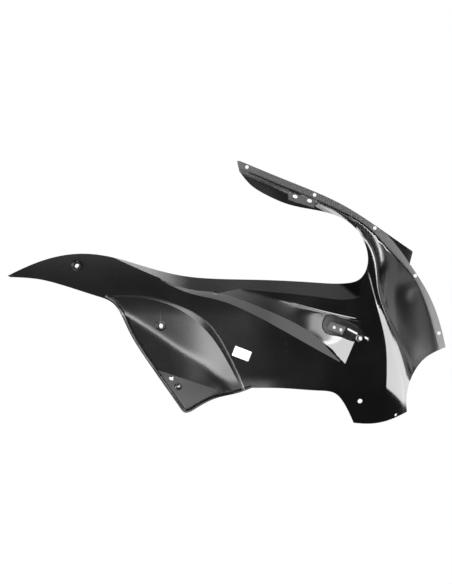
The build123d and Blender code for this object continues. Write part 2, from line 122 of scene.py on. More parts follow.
def walked(line: np.ndarray, step: float) -> np.ndarray:
    """Even places along a polyline.

    Args:
        line: Points of the polyline, one per row.
        step: Wanted distance between two places.

    Returns:
        The places, with both ends of the polyline.
    """
    length = lengths_along(line)
    even = np.linspace(0, length[-1], max(2, 1 + round(length[-1] / step)))
    return np.stack([np.interp(even, length, column) for column in line.T], axis=1)


def spline_walk(points: np.ndarray, ends: tuple[int, int], samples: int, step: float) -> np.ndarray:
    """Even places on a smooth curve from one of its points to another.

    Each coordinate is a natural cubic spline over the length of the chords, walked in even steps.

    Args:
        points: Points of the curve, one per row.
        ends: Numbers of the points where the walk starts and stops.
        samples: Number of close places that are walked.
        step: Wanted distance between two even places.

    Returns:
        The even places, one per row.
    """
    chord = lengths_along(points)
    dense = np.linspace(chord[ends[0]], chord[ends[1]], samples)
    columns = [spline(np.stack([chord, column], axis=1), dense) for column in points.T]
    return walked(np.stack(columns, axis=1), step)


def smooth_curve(points: Places | tuple[Point, ...], step: float) -> np.ndarray:
    """Even places on a smooth curve through given points."""
    rough = np.asarray(points, dtype=float)
    return spline_walk(rough, (0, -1), CURVE_SAMPLES * len(rough), step)


def closed_curve(points: Places, step: float) -> np.ndarray:
    """Even places on a smooth closed curve: of an open curve through three rounds, the middle round.

    Args:
        points: Given points of one round.
        step: Wanted distance between two places.

    Returns:
        The places of one round, without the first one again at the end.
    """
    rough = np.asarray(points, dtype=float)
    count = len(rough)
    rounds = np.concatenate([rough, rough, closed(rough)])
    return spline_walk(rounds, (count, 2 * count), CURVE_SAMPLES * count, step)[:-1]


def nearest_on(places: np.ndarray, line: np.ndarray) -> tuple[np.ndarray, np.ndarray, np.ndarray]:
    """Distance from places to a polyline, the side of it and where along it the nearest point lies.

    Args:
        places: Places, one per row.
        line: Points of the polyline.

    Returns:
        The distance, the sign (positive to the left of the line's direction) and the nearest place's point
        number with its fraction.
    """
    start, step = line[:-1], np.diff(line, axis=0)
    distance, sign, where = [], [], []
    for part in np.array_split(places, 1 + len(places) * len(start) // DISTANCE_BATCH):
        offset = part[:, None, :] - start
        share = np.clip((offset * step).sum(-1) / (step ** 2).sum(-1), 0, 1)
        away = offset - share[..., None] * step
        length = np.hypot(away[..., 0], away[..., 1])
        pick = length.argmin(1)
        row = np.arange(len(part))
        turn = step[pick, 0] * away[row, pick, 1] - step[pick, 1] * away[row, pick, 0]
        distance.append(length[row, pick])
        sign.append(np.sign(turn))
        where.append(pick + share[row, pick])
    return np.concatenate(distance), np.concatenate(sign), np.concatenate(where)


def within(places: np.ndarray, loop: np.ndarray) -> np.ndarray:
    """Whether places lie inside a closed loop, by counting the loop's crossings above each place.

    Args:
        places: Places, one per row.
        loop: Points of the loop.

    Returns:
        True for each place with an odd number of crossings.
    """
    ahead = np.roll(loop, -1, axis=0)
    run = np.where(ahead[:, 0] == loop[:, 0], 1.0, ahead[:, 0] - loop[:, 0])
    rise = (ahead[:, 1] - loop[:, 1]) / run
    result = []
    for part in np.array_split(places, 1 + len(places) * len(loop) // CROSSING_BATCH):
        x, z = part[:, :1], part[:, 1:]
        spans = (loop[:, 0] > x) != (ahead[:, 0] > x)
        result.append((spans & (loop[:, 1] + (x - loop[:, 0]) * rise > z)).sum(1) % 2 == 1)
    return np.concatenate(result)


def depth_inside(places: np.ndarray, loop: np.ndarray) -> np.ndarray:
    """Distance from places to a closed loop, positive inside it."""
    distance = nearest_on(places, closed(loop))[0]
    return np.where(within(places, loop), distance, -distance)


def moved_aside(line: np.ndarray, distance: float) -> np.ndarray:
    """An open line moved square to its own direction.

    Args:
        line: Points of the line.
        distance: How far it moves, positive to the left of its direction.

    Returns:
        The moved points.
    """
    run = np.gradient(line, axis=0)
    run /= np.linalg.norm(run, axis=1)[:, None]
    return line + distance * np.stack([-run[:, 1], run[:, 0]], axis=1)


def soft_least(first: np.ndarray, second: np.ndarray, softness: float) -> np.ndarray:
    """The smaller of two values, rounded where they meet: minus the logarithm of a sum of exponentials."""
    return -softness * np.logaddexp(-first / softness, -second / softness)


def swell(across: np.ndarray) -> np.ndarray:
    """Height of a soft bead: a squared cosine, one in the middle and nothing from one on."""
    return np.cos(np.pi / 2 * np.clip(across, -1, 1)) ** 2


def ring(count: int) -> np.ndarray:
    """Unit circle as rows of cosine and sine."""
    angle = np.linspace(0, 2 * np.pi, count, endpoint=False)
    return np.stack([np.cos(angle), np.sin(angle)], axis=1)


def in_space(places: np.ndarray, depth: np.ndarray) -> np.ndarray:
    """Points in space from places x and z and their depths y."""
    return np.stack([places[:, 0], depth, places[:, 1]], axis=1)


def put_mesh(name: str, points: np.ndarray, faces: Faces) -> bpy.types.Object:
    """Make a smooth-shaded object at the origin from points in millimetres.

    Args:
        name: Name of the object and its mesh.
        points: Points, one per row.
        faces: Corner numbers of each face.

    Returns:
        The new object, linked to the scene.
    """
    mesh = bpy.data.meshes.new(name)
    mesh.from_pydata(points * MM, [], faces)
    mesh.polygons.foreach_set("use_smooth", np.ones(len(mesh.polygons), dtype=bool))
    mesh.update()
    piece = bpy.data.objects.new(name, mesh)
    bpy.context.collection.objects.link(piece)
    return piece


def grid_faces(rows: int, columns: int, first: int = 0, round_columns: bool = False) -> Faces:
    """Quads between the rows and columns of a grid of points.

    Args:
        rows: Number of rows.
        columns: Number of points in a row.
        first: Number of the grid's first point.
        round_columns: Whether the last column joins the first.

    Returns:
        The quads.
    """
    number = first + np.arange(rows * columns).reshape(rows, columns)
    if round_columns:
        number = np.concatenate([number, number[:, :1]], axis=1)
    quads = np.stack([number[:-1, :-1], number[1:, :-1], number[1:, 1:], number[:-1, 1:]], axis=-1)
    return [tuple(quad) for quad in quads.reshape(-1, 4).tolist()]


@dataclass(frozen=True)
class Bend:
    """A soft bend of the side: its slope far off, where it starts and how soft it is."""

    slope: float
    start: float
    softness: float

    def fall(self, distance: np.ndarray) -> np.ndarray:
        """Fall at a distance past the start: the root of distance and softness squared, less softness."""
        root = np.sqrt(np.maximum(distance, 0) ** 2 + self.softness ** 2)
        return self.slope * (root - self.softness)


@dataclass(frozen=True)
class Ease:
    """A slope eased from a rear to a front value by a hyperbolic tangent of given middle and spread."""

    rear: float
    front: float
    middle: float
    spread: float

    def at(self, x: np.ndarray) -> np.ndarray:
        """The slope at places along x."""
        return self.rear + (self.front - self.rear) * (1 + np.tanh((x - self.middle) / self.spread)) / 2


@dataclass
class SideForm:
    """The smooth side and its creases: each face is a depth y over places x and z."""

    screen_lean: Bend = Bend(0.55, -200.0, 160.0)
    tail_taper: Bend = Bend(0.22, -150.0, 150.0)
    nose_taper: Bend = Bend(0.22, -60.0, 80.0)
    belly_tuck: Bend = Bend(0.40, -300.0, 40.0)
    shoulder: tuple[Point, ...] = (
        (-150.0, 75.0, 10.0), (-44.0, 27.0, 10.0), (27.0, -4.0, 10.0), (81.0, -38.0, 12.0),
        (112.0, -76.0, 14.0), (123.0, -117.0, 12.0), (128.0, -155.0, 7.0), (140.0, -196.0, 8.0),
        (156.0, -242.0, 14.0), (168.0, -291.0, 24.0), (176.0, -345.0, 34.0), (180.0, -420.0, 44.0))
    shoulder_step: float = 4.0
    shoulder_entry: float = 0.10
    nose_slope: float = 1.20
    lip_crease: Places = (
        (-311.0, -104.0), (-250.0, -131.0), (-195.0, -148.5), (-140.0, -150.5), (-72.0, -156.0),
        (29.0, -166.5), (84.0, -170.0), (119.0, -160.0))
    lip_span: Span = (-330.0, 120.0)
    lip_slope: float = 0.60
    lip_top: float = -80.0
    lip_end_x: float = 98.0
    lip_end_slope: float = 0.50
    blade_line: Places = (
        (-265.0, -124.0), (-195.0, -159.0), (-140.0, -172.5), (-102.0, -187.0), (-26.0, -227.0),
        (47.0, -268.0), (82.0, -287.0))
    blade_span: Span = (-290.0, 84.0)
    blade_slope: float = 0.40
    lip_blade_span: Span = (-240.0, -150.0)
    scoop_top: Places = ((-135.0, -144.5), (-38.0, -171.0), (47.0, -194.5), (115.0, -209.0))
    scoop_top_span: Span = (-155.0, 116.0)
    scoop_slopes: Places = (
        (-285.0, 0.36), (-135.0, 0.34), (-38.0, 0.32), (0.0, 0.27), (47.0, 0.11), (70.0, 0.065),
        (92.0, 0.03), (118.0, 0.008), (140.0, 0.004))
    scoop_floor_span: Span = (-190.0, 82.0)
    lip_scoop_span: Span = (-190.0, -40.0)
    scoop_end: Places = ((82.0, -287.0), (115.0, -209.0))
    scoop_setback: float = 11.0
    scoop_end_slope: float = 0.15
    scoop_round: float = 0.5
    bead_ends: Span = (-40.0, 113.0)
    bead_height: float = 1.1
    bead_half: float = 2.6
    bead_fade: float = 34.0
    bead_guides: tuple[float, ...] = (-1.0, 0.5, 1.0)
    ridge_line: Places = (
        (-318.0, -165.0), (-268.5, -166.0), (-204.0, -183.0), (-176.5, -197.5), (-158.0, -214.0),
        (-139.5, -240.0), (-100.5, -318.0))
    ridge_span: Span = (-318.0, -100.0)
    ridge_slopes: Ease = Ease(0.50, 0.45, -160.0, 30.0)
    trough_slopes: Ease = Ease(0.03, 0.15, -185.0, 32.0)
    rear_ridge: Places = (
        (-306.0, -194.0), (-250.0, -229.0), (-195.0, -265.5), (-140.0, -306.0), (-122.5, -329.0))
    rear_span: Span = (-330.0, -118.0)
    rear_tuck: float = 0.40
    rear_round: float = 1.2
    corner_line: Places = ((-243.5, -292.0), (-139.5, -326.5))
    corner_span: Span = (-260.0, -125.0)
    corner_tuck: float = 0.65
    pad_rise: float = 1.5
    slope_reach: float = 0.5
    shoulder_path: np.ndarray = field(init=False)

    def __post_init__(self) -> None:
        """Walk the shoulder once, because every depth asks for it."""
        self.shoulder_path = smooth_curve(self.shoulder, self.shoulder_step)

    def side_fall(self, x: np.ndarray, z: np.ndarray) -> np.ndarray:
        """Sum of the four bends that draw the side in towards screen, tail, nose and belly."""
        screen, tail, nose, belly = self.screen_lean, self.tail_taper, self.nose_taper, self.belly_tuck
        return (screen.fall(z - screen.start) + tail.fall(tail.start - x)
                + nose.fall(x - nose.start) + belly.fall(belly.start - z))

    def side(self, x: np.ndarray, z: np.ndarray) -> np.ndarray:
        """Smooth side, which passes the pad's rise outboard of the origin."""
        origin = self.side_fall(np.zeros(1), np.zeros(1))[0]
        return self.pad_rise + origin - self.side_fall(x, z)

    def past_shoulder(self, x: np.ndarray, z: np.ndarray) -> tuple[np.ndarray, np.ndarray]:
        """Where places lie to the shoulder.

        Args:
            x: Places along x.
            z: Places along z.

        Returns:
            The signed distance past the shoulder towards the nose, and the half-width of its rounding there.
        """
        places = np.stack([x, z], axis=1)
        distance, sign, where = nearest_on(places, self.shoulder_path[:, :2])
        half = np.interp(where, np.arange(len(self.shoulder_path)), self.shoulder_path[:, 2])
        return sign * distance, half

    def nose_fall(self, x: np.ndarray, z: np.ndarray) -> np.ndarray:
        """Fall of the nose wall: a faint edge, a parabola over the rounding, then a straight wall.

        Args:
            x: Places along x.
            z: Places along z.

        Returns:
            The fall below the smooth side.
        """
        distance, half = self.past_shoulder(x, z)
        past = distance + half
        bent = np.clip(past, 0, 2 * half) ** 2 / (4 * half) + np.maximum(past - 2 * half, 0)
        return self.shoulder_entry * past + (self.nose_slope - self.shoulder_entry) * bent

    def scoop_end_at(self, z: np.ndarray) -> np.ndarray:
        """Where the slope at the scoop's front end starts at each height: a straight line, set back."""
        (low_x, low_z), (high_x, high_z) = self.scoop_end
        return low_x + (high_x - low_x) / (high_z - low_z) * (z - low_z) - self.scoop_setback

    def creases(self, x: np.ndarray, z: np.ndarray) -> np.ndarray:
        """Depth of the creased face over the smooth side, positive outwards.

        Grooves are the larger of nothing and the smaller of their walls; folds then take the smaller of all.

        Args:
            x: Places along x.
            z: Places along z.

        Returns:
            The depth at each place.
        """
        blade = self.blade_slope * (z - spline(self.blade_line, x))
        scoop = spline(self.scoop_slopes, x) * (spline(self.scoop_top, x) - z)
        end = self.scoop_end_slope * (self.scoop_end_at(z) - x)
        groove = np.minimum(blade, soft_least(scoop, end, self.scoop_round))
        above_rear = z - spline(self.rear_ridge, x)
        ridge = self.ridge_slopes.at(x) * (spline(self.ridge_line, x) - z)
        trough = np.minimum(ridge, self.trough_slopes.at(x) * above_rear)
        face = np.maximum.reduce([groove, trough, np.zeros_like(x)])
        rear = self.rear_tuck * above_rear
        face = np.where(x > self.rear_span[0], soft_least(face, rear, self.rear_round), face)
        lip_end = self.lip_end_slope * (x - self.lip_end_x)
        lip = np.maximum(self.lip_slope * (spline(self.lip_crease, x) - z), lip_end)
        lip = np.where(z < self.lip_top, lip, 0.0)
        corner = rear + (self.corner_tuck - self.rear_tuck) * (z - spline(self.corner_line, x))
        return np.minimum.reduce([face, lip, corner, -self.nose_fall(x, z)]) - self.bead(x, z)

    def bead(self, x: np.ndarray, z: np.ndarray) -> np.ndarray:
        """Fine bead on the scoop's upper crease, faded out at both ends.

        Args:
            x: Places along x.
            z: Places along z.

        Returns:
            The bead's height at each place.
        """
        inside = np.minimum(x - self.bead_ends[0], self.bead_ends[1] - x) / self.bead_fade
        across = (z - spline(self.scoop_top, x)) / self.bead_half
        return self.bead_height * np.clip(inside, 0, 1) * swell(across)

    def inner(self, x: np.ndarray, z: np.ndarray) -> np.ndarray:
        """Creased inner face: the smooth side plus its creases."""
        return self.side(x, z) + self.creases(x, z)

    def slopes(self, x: np.ndarray, z: np.ndarray, reach: float) -> tuple[np.ndarray, np.ndarray]:
        """Rise of the inner face, as its change from one side of a place to the other.

        Args:
            x: Places along x.
            z: Places along z.
            reach: Distance to both sides.

        Returns:
            The rise along x and along z.
        """
        along_x = (self.inner(x + reach, z) - self.inner(x - reach, z)) / (2 * reach)
        along_z = (self.inner(x, z + reach) - self.inner(x, z - reach)) / (2 * reach)
        return along_x, along_z

    def crease_lines(self, step: float) -> tuple[list[np.ndarray], list[np.ndarray]]:
        """Lines on which two faces of the form meet, each solved for z from the two faces' formulas.

        Args:
            step: Distance between two places on a line.

        Returns:
            The crisp lines and the rounded ones, one array of places each.
        """
        def over(span: Span) -> np.ndarray:
            """Steps over a span."""
            return np.arange(*span, step)

        def even(group: list[tuple[np.ndarray, np.ndarray]]) -> list[np.ndarray]:
            """Even places on the lines of a group."""
            return [walked(np.stack(line, axis=1), step) for line in group]

        blade, lip = self.blade_slope, self.lip_slope
        crisp, rounded = [], []
        x = over(self.lip_span)
        crisp.append((x, spline(self.lip_crease, x)))
        x = over(self.lip_blade_span)
        share = lip / (lip + blade)
        crisp.append((x, share * spline(self.lip_crease, x) + (1 - share) * spline(self.blade_line, x)))
        x = over(self.blade_span)
        crisp.append((x, spline(self.blade_line, x)))
        x = over(self.scoop_floor_span)
        floor, top = spline(self.scoop_slopes, x), spline(self.scoop_top, x)
        crisp.append((x, (blade * spline(self.blade_line, x) + floor * top) / (blade + floor)))
        x = over(self.lip_scoop_span)
        floor, top = spline(self.scoop_slopes, x), spline(self.scoop_top, x)
        meet = (lip * spline(self.lip_crease, x) - floor * top) / (lip - floor)
        crisp.append((x[meet < top], meet[meet < top]))
        x = over(self.scoop_top_span)
        rounded.append((x, spline(self.scoop_top, x)))
        x = over(self.ridge_span)
        rounded.append((x, spline(self.ridge_line, x)))
        upper, lower = self.ridge_slopes.at(x), self.trough_slopes.at(x)
        valley = upper * spline(self.ridge_line, x) + lower * spline(self.rear_ridge, x)
        crisp.append((x, valley / (upper + lower)))
        x = over(self.rear_span)
        rounded.append((x, spline(self.rear_ridge, x)))
        x = over(self.corner_span)
        crisp.append((x, spline(self.corner_line, x)))
        x = over(self.bead_ends)
        rounded += [(x, spline(self.scoop_top, x) + side * self.bead_half) for side in self.bead_guides]
        z = over((self.scoop_end[0][1], self.scoop_end[1][1]))
        crisp.append((self.scoop_end_at(z), z))
        middle, half = self.shoulder_path[::-1, :2], self.shoulder_path[::-1, 2:]
        entry = middle + half * (moved_aside(middle, 1.0) - middle)
        rounded.append((entry[:, 0], entry[:, 1]))
        return even(crisp), even(rounded)


@dataclass(frozen=True)
class Seat:
    """A plane on the inner face: a point of it and its rise along x and along z."""

    origin: np.ndarray
    rise: tuple[float, float]

    @property
    def stretch(self) -> float:
        """Depth along y of one unit square to the plane."""
        return float(np.sqrt(1 + self.rise[0] ** 2 + self.rise[1] ** 2))

    def axes(self, turn: float = 0.0) -> np.ndarray:
        """Forward, up and inward unit vectors of the plane, as rows.

        Args:
            turn: Angle in degrees by which forward and up turn downwards in the plane.

        Returns:
            The three unit vectors.
        """
        inward = np.array([self.rise[0], -1.0, self.rise[1]]) / self.stretch
        along, up = np.cos(np.radians(-turn)), np.sin(np.radians(-turn))
        forward = np.array([along, self.rise[0] * along + self.rise[1] * up, up])
        forward /= np.linalg.norm(forward)
        return np.stack([forward, np.cross(inward, forward), inward])

    def depth(self, places: np.ndarray) -> np.ndarray:
        """Depth of the plane at places x and z."""
        return self.origin[1] + (places - self.origin[[0, 2]]) @ np.array(self.rise)

    def pushed(self, outwards: float) -> "Seat":
        """The same plane moved outwards, square to itself."""
        return Seat(self.origin - outwards * self.axes()[2], self.rise)

    def local(self, places: np.ndarray, turn: float = 0.0) -> np.ndarray:
        """Places dropped along y onto the plane, in the plane's own forward and up."""
        return (in_space(places, self.depth(places)) - self.origin) @ self.axes(turn)[:2].T

    def points(self, local: np.ndarray, turn: float = 0.0) -> np.ndarray:
        """Points in space from rows of forward, up and, where there is a third column, inward."""
        return self.origin + local @ self.axes(turn)[:local.shape[1]]


@dataclass(frozen=True)
class Rim:
    """Rim of a hole: its points in space on the inner face, and the way through the wall."""

    points: np.ndarray
    through: np.ndarray

    @property
    def loop(self) -> np.ndarray:
        """The rim's places x and z."""
        return self.points[:, [0, 2]]


@dataclass(frozen=True)
class Boss:
    """A screw boss: place, hole, outside diameter and height."""

    place: Place
    hole: float
    diameter: float
    height: float


@dataclass
class FairingPanel:
    """The one-piece moulding: outline, flange, pad, signal seat, bosses and holes on the form of the side."""

    form: SideForm
    wall: float = 2.8
    tail_tip: Place = (-501.0, -130.4)
    lowest: float = -382.25
    upper_edge: Places = (
        (-471.0, -116.0), (-425.0, -99.5), (-371.5, -92.7), (-323.0, -98.8), (-271.0, -113.6),
        (-204.0, -130.2), (-140.0, -135.7), (-72.0, -137.2), (25.0, -142.0), (74.5, -143.0),
        (98.0, -136.2), (110.0, -118.0), (110.0, -85.0), (81.0, -40.5), (40.0, -22.3), (-24.0, -8.7),
        (-58.0, 5.6), (-87.5, 24.0), (-107.0, 47.0))
    arm_end: Places = ((-107.0, 47.0), (-111.0, 64.4), (-105.5, 64.0))
    screen_edge: Places = ((-105.5, 64.0), (-23.5, 30.4), (73.0, -12.6), (129.0, -48.8))
    tab: Places = ((129.0, -48.8), (186.0, -89.6), (181.0, -111.2), (183.0, -112.9))
    nose_edge: Places = ((183.0, -112.9), (211.5, -159.6), (236.0, -228.0), (241.0, -251.0))
    headlight_edge: Places = (
        (241.0, -251.0), (207.6, -270.3), (185.0, -305.2), (177.2, -341.5), (178.0, -361.6))
    lower_front_edge: Places = ((178.0, -361.6), (144.0, -377.2), (107.5, -382.3), (87.7, -380.8))
    notch_edge: Places = (
        (87.7, -380.8), (71.4, -347.3), (57.3, -331.5), (30.0, -326.4), (-35.5, -322.3), (-85.3, -321.8))
    step_edge: Places = ((-85.3, -321.8), (-106.5, -329.8), (-145.7, -339.0), (-187.3, -360.4))
    lower_rear_corner: Places = ((-187.3, -360.4), (-199.5, -363.0), (-208.0, -354.5))
    rear_edge: Places = (
        (-208.0, -354.5), (-265.0, -273.5), (-295.5, -224.0), (-308.0, -197.5), (-324.0, -176.0),
        (-349.0, -165.2), (-410.0, -145.8), (-448.0, -136.4), (-496.0, -132.8))
    flange_line: Places = (
        (-113.0, 51.5), (-78.0, 40.5), (-44.5, 26.5), (-7.0, 11.5), (51.0, -14.0), (114.0, -51.0),
        (143.0, -82.0), (164.0, -105.0), (181.0, -125.0), (198.5, -155.0), (219.5, -215.5),
        (229.5, -254.0))
    joggle: float = 3.5
    joggle_run: float = 1.4
    edge_under_tab: Places = ((129.0, -48.8), (143.0, -61.0), (158.5, -78.5), (183.0, -112.9))
    tab_setback: float = 1.2
    tab_run: float = 0.6
    screen_holes: Places = (
        (-94.0, 54.0), (21.0, 7.0), (123.0, -49.5), (190.5, -130.5), (230.0, -227.5))
    screen_hole: float = 6.0
    mirror_spacing: float = 25.5
    mirror_hole: float = 9.0
    pad_length: float = 49.0
    pad_above: float = 7.0
    pad_below: float = 10.5
    pad_corner: float = 3.0
    pad_turn: float = 16.5
    pad_run: float = 0.9
    signal_seat: Place = (75.0, -221.0)
    signal_span: float = 12.0
    leaf: Places = (
        (35.5, -221.0), (41.5, -198.5), (70.0, -203.5), (100.0, -221.5), (115.0, -238.5),
        (90.0, -243.0), (63.0, -234.0), (40.5, -228.0))
    leaf_depth: float = 4.0
    leaf_run: float = 1.4
    plate: Places = ((42.5, -221.5), (50.5, -207.5), (77.0, -217.5), (69.5, -231.5))
    plate_rise: float = 3.0
    plate_run: float = 0.7
    plate_diagonal: float = 1.4
    signal_holes: Places = ((55.0, -218.6), (66.3, -222.7))
    signal_hole: float = 5.6
    signal_slots: tuple[Places, ...] = (
        ((77.5, -220.7), (94.5, -229.7)), ((106.5, -235.0), (112.0, -238.0)))
    slot_width: float = 3.6
    signal_boss: Boss = Boss((99.5, -237.0), 7.0, 13.5, 5.0)
    bosses: tuple[Boss, ...] = (
        Boss((-383.5, -113.0), 8.2, 17.0, 5.0), Boss((-240.5, -215.5), 8.0, 16.0, 6.0),
        Boss((-211.0, -319.0), 6.5, 12.0, 2.5))
    boss_bore: Places = ((0.0, -0.5), (0.15, -0.15), (0.5, 0.0))
    boss_brow: Places = ((-0.6, 0.0), (-0.2, -0.2), (0.0, -0.6))
    boss_foot: Places = ((0.15, 0.9), (0.5, 0.2), (1.2, -0.5))
    plain_holes: tuple[tuple[Place, float], ...] = (
        ((-222.5, -305.0), 8.8), ((98.6, -343.5), 8.4), ((158.6, -366.5), 5.5))
    hole_land: float = 7.0
    rim_slack: float = 0.3
    rim_inset: float = 4.2
    rim_half: float = 1.5
    rim_height: float = 0.9
    rim_end: float = -335.0
    rim_guides: tuple[float, ...] = (-1.0, -0.5, 0.0, 0.5, 1.0)
    rib_length: float = 12.0
    rib_width: float = 2.0
    rib_height: float = 3.0
    rib_foot: Places = ((0.3, -1.0), (0.0, 0.3))
    rib_top: Places = ((-0.15, -0.4), (-0.5, 0.0))
    rib_steps: int = 8
    satin_reach: Span = (60.0, 160.0)
    mesh_step: float = 2.4
    mesh_room: float = 0.6
    recess_step: float = 1.5
    pad_step: float = 1.2
    slot_step: float = 1.0
    hole_points: int = 16
    screen_hole_points: int = 20
    pad_points: int = 48
    boss_points: int = 40
    crease_round: float = 0.8
    crisp_reach: float = 0.04
    edge_reach: float = 0.05
    merge_reach: float = 0.02
    rim_room: float = 0.7
    sharp_angle: float = 32.0

    def seat(self, place: Place, reach: float = 2.0) -> Seat:
        """Plane on the creased inner face.

        Args:
            place: Where it touches the face.
            reach: Distance over which its slopes are taken.

        Returns:
            The plane.
        """
        x, z = np.array([place[0]]), np.array([place[1]])
        along_x, along_z = self.form.slopes(x, z, reach)
        origin = np.array([place[0], self.form.inner(x, z)[0], place[1]])
        return Seat(origin, (float(along_x[0]), float(along_z[0])))

    def mirror_seat(self) -> Seat:
        """Plane of the mirror pad, through the origin and along the side."""
        return Seat(np.zeros(3), self.seat((0.0, 0.0), self.form.slope_reach).rise)

    def signal_floor(self) -> Seat:
        """Plane of the floor of the signal recess."""
        return self.seat(self.signal_seat, self.signal_span).pushed(self.leaf_depth)

    def outline(self) -> np.ndarray:
        """Closed outline, clockwise as seen from inside: smooth chains with corners where they meet.

        Returns:
            The places of the outline, kept within the tail's and the lowest edge's limits.
        """
        step = self.mesh_step
        chains = [smooth_curve((self.tail_tip,) + self.upper_edge, step),
                  walked(np.array(self.arm_end), step), smooth_curve(self.screen_edge, step),
                  walked(np.array(self.tab), step)]
        for edge in (self.nose_edge, self.headlight_edge, self.lower_front_edge, self.notch_edge,
                     self.step_edge, self.lower_rear_corner, self.rear_edge):
            chains.append(smooth_curve(edge, step))
        chains.append(walked(np.array([self.rear_edge[-1], self.tail_tip]), step))
        outline = np.concatenate([chain[:-1] for chain in chains])
        return np.maximum(outline, np.array([self.tail_tip[0], self.lowest]))

    def round_rim(self, seat: Seat, middle: np.ndarray, diameter: float, turn: float = 0.0) -> Rim:
        """Rim of a round hole square to a plane.

        Args:
            seat: The plane.
            middle: Middle of the hole in the plane.
            diameter: Its diameter.
            turn: Angle in degrees by which the plane's axes turn.

        Returns:
            The rim.
        """
        circle = ring(max(self.hole_points, round(np.pi * diameter))) * diameter / 2
        return Rim(seat.points(circle + middle, turn), -self.wall * seat.axes()[2])

    def straight_rim(self, place: Place, diameter: float) -> Rim:
        """Rim of a round hole that goes along y through the face.

        Args:
            place: Middle of the hole.
            diameter: Its diameter.

        Returns:
            The rim.
        """
        seat = self.seat(place)
        loop = np.array(place) + ring(self.screen_hole_points) * diameter / 2
        return Rim(in_space(loop, seat.depth(loop)), np.array([0.0, self.wall * seat.stretch, 0.0]))

    def slot_rim(self, seat: Seat, ends: Places) -> Rim:
        """Rim of a straight slot square to a plane: a rectangle along the line between its ends.

        Args:
            seat: The plane.
            ends: Both ends of the slot's middle line.

        Returns:
            The rim.
        """
        start, end = seat.local(np.array(ends))
        run = (end - start) / np.linalg.norm(end - start)
        across = np.array([-run[1], run[0]]) * self.slot_width / 2
        corners = closed(np.array([start - across, end - across, end + across, start + across]))
        return Rim(seat.points(walked(corners, self.slot_step)[:-1]), -self.wall * seat.axes()[2])

    def rims(self) -> list[Rim]:
        """Rims of all holes and slots, each square to the face that it goes through or along y.

        Returns:
            The rims.
        """
        rims = [self.straight_rim(place, self.screen_hole) for place in self.screen_holes]
        for shift in (-self.mirror_spacing / 2, self.mirror_spacing / 2):
            middle = np.array([shift, 0.0])
            rims.append(self.round_rim(self.mirror_seat(), middle, self.mirror_hole, self.pad_turn))
        fixings = [(boss.place, boss.hole) for boss in self.bosses] + list(self.plain_holes)
        rims += [self.round_rim(self.seat(place), np.zeros(2), hole) for place, hole in fixings]
        floor = self.signal_floor()
        signal = [(place, self.signal_hole) for place in self.signal_holes]
        for place, hole in signal + [(self.signal_boss.place, self.signal_boss.hole)]:
            rims.append(self.round_rim(floor, floor.local(np.array([place]))[0], hole))
        return rims + [self.slot_rim(floor, ends) for ends in self.signal_slots]

    @property
    def pad_core(self) -> tuple[np.ndarray, np.ndarray]:
        """Middle of the pad, and its half size without the rounded corners."""
        size = np.array([self.pad_length, self.pad_above + self.pad_below])
        return np.array([0.0, (self.pad_above - self.pad_below) / 2]), size / 2 - self.pad_corner

    def pad_share(self, places: np.ndarray) -> np.ndarray:
        """One on the mirror pad, nothing off it: the depth inside a rounded rectangle over the wall's run.

        Args:
            places: Places, one per row.

        Returns:
            The share at each place.
        """
        middle, half = self.pad_core
        past = np.abs(self.mirror_seat().local(places, self.pad_turn) - middle) - half
        outside = np.linalg.norm(np.maximum(past, 0), axis=1) + np.minimum(past.max(axis=1), 0)
        return np.clip((self.pad_corner - outside) / self.pad_run, 0, 1)

    def pad_loop(self, inset: float) -> np.ndarray:
        """Border of the pad: straight sides with quarter circles.

        Args:
            inset: How far the border moves in.

        Returns:
            The places of the border.
        """
        middle, half = self.pad_core
        turn = ring(self.pad_points)
        local = np.where(turn >= 0, 1, -1) * half + turn * (self.pad_corner - inset) + middle
        local = walked(closed(local), self.pad_step)[:-1]
        return self.mirror_seat().points(local, self.pad_turn)[:, [0, 2]]

    def flange_share(self, places: np.ndarray) -> np.ndarray:
        """One on the windscreen flange, nothing inside its line."""
        distance, sign, _ = nearest_on(places, smooth_curve(self.flange_line, self.mesh_step))
        return np.clip(sign * distance / self.joggle_run, 0, 1)

    def tab_share(self, places: np.ndarray) -> np.ndarray:
        """One on the thin tab, nothing on the flange beside it.

        Args:
            places: Places, one per row.

        Returns:
            The share at each place.
        """
        (left, _), (_, bottom) = self.edge_under_tab[0], self.edge_under_tab[-1]
        distance, sign, _ = nearest_on(places, smooth_curve(self.edge_under_tab, self.mesh_step))
        beside = (places[:, 0] > left) & (places[:, 1] > bottom)
        return np.where(beside, np.clip(sign * distance / self.tab_run, 0, 1), 0)

    def leaf_share(self, places: np.ndarray) -> np.ndarray:
        """One on the floor of the signal recess, nothing outside its rim."""
        return np.clip(depth_inside(places, closed_curve(self.leaf, self.recess_step)) / self.leaf_run, 0, 1)

    def plate_share(self, places: np.ndarray) -> np.ndarray:
        """One on the raised signal plate, nothing beside it."""
        return np.clip(depth_inside(places, np.array(self.plate)) / self.plate_run, 0, 1)

    def rim_line(self) -> np.ndarray:
        """Middle of the raised rim: the lower rear edges moved inwards.

        Returns:
            The places of the line, up to the rim's end.
        """
        chains = (self.step_edge, self.lower_rear_corner, self.rear_edge)
        edges = [smooth_curve(edge, self.mesh_step) for edge in chains]
        line = moved_aside(np.concatenate([edges[0], edges[1][1:], edges[2][1:]]), -self.rim_inset)
        return line[line[:, 0] > self.rim_end]

    def rim_rise(self, places: np.ndarray) -> np.ndarray:
        """Height of the raised rim over its middle line."""
        return self.rim_height * swell(nearest_on(places, self.rim_line())[0] / self.rim_half)

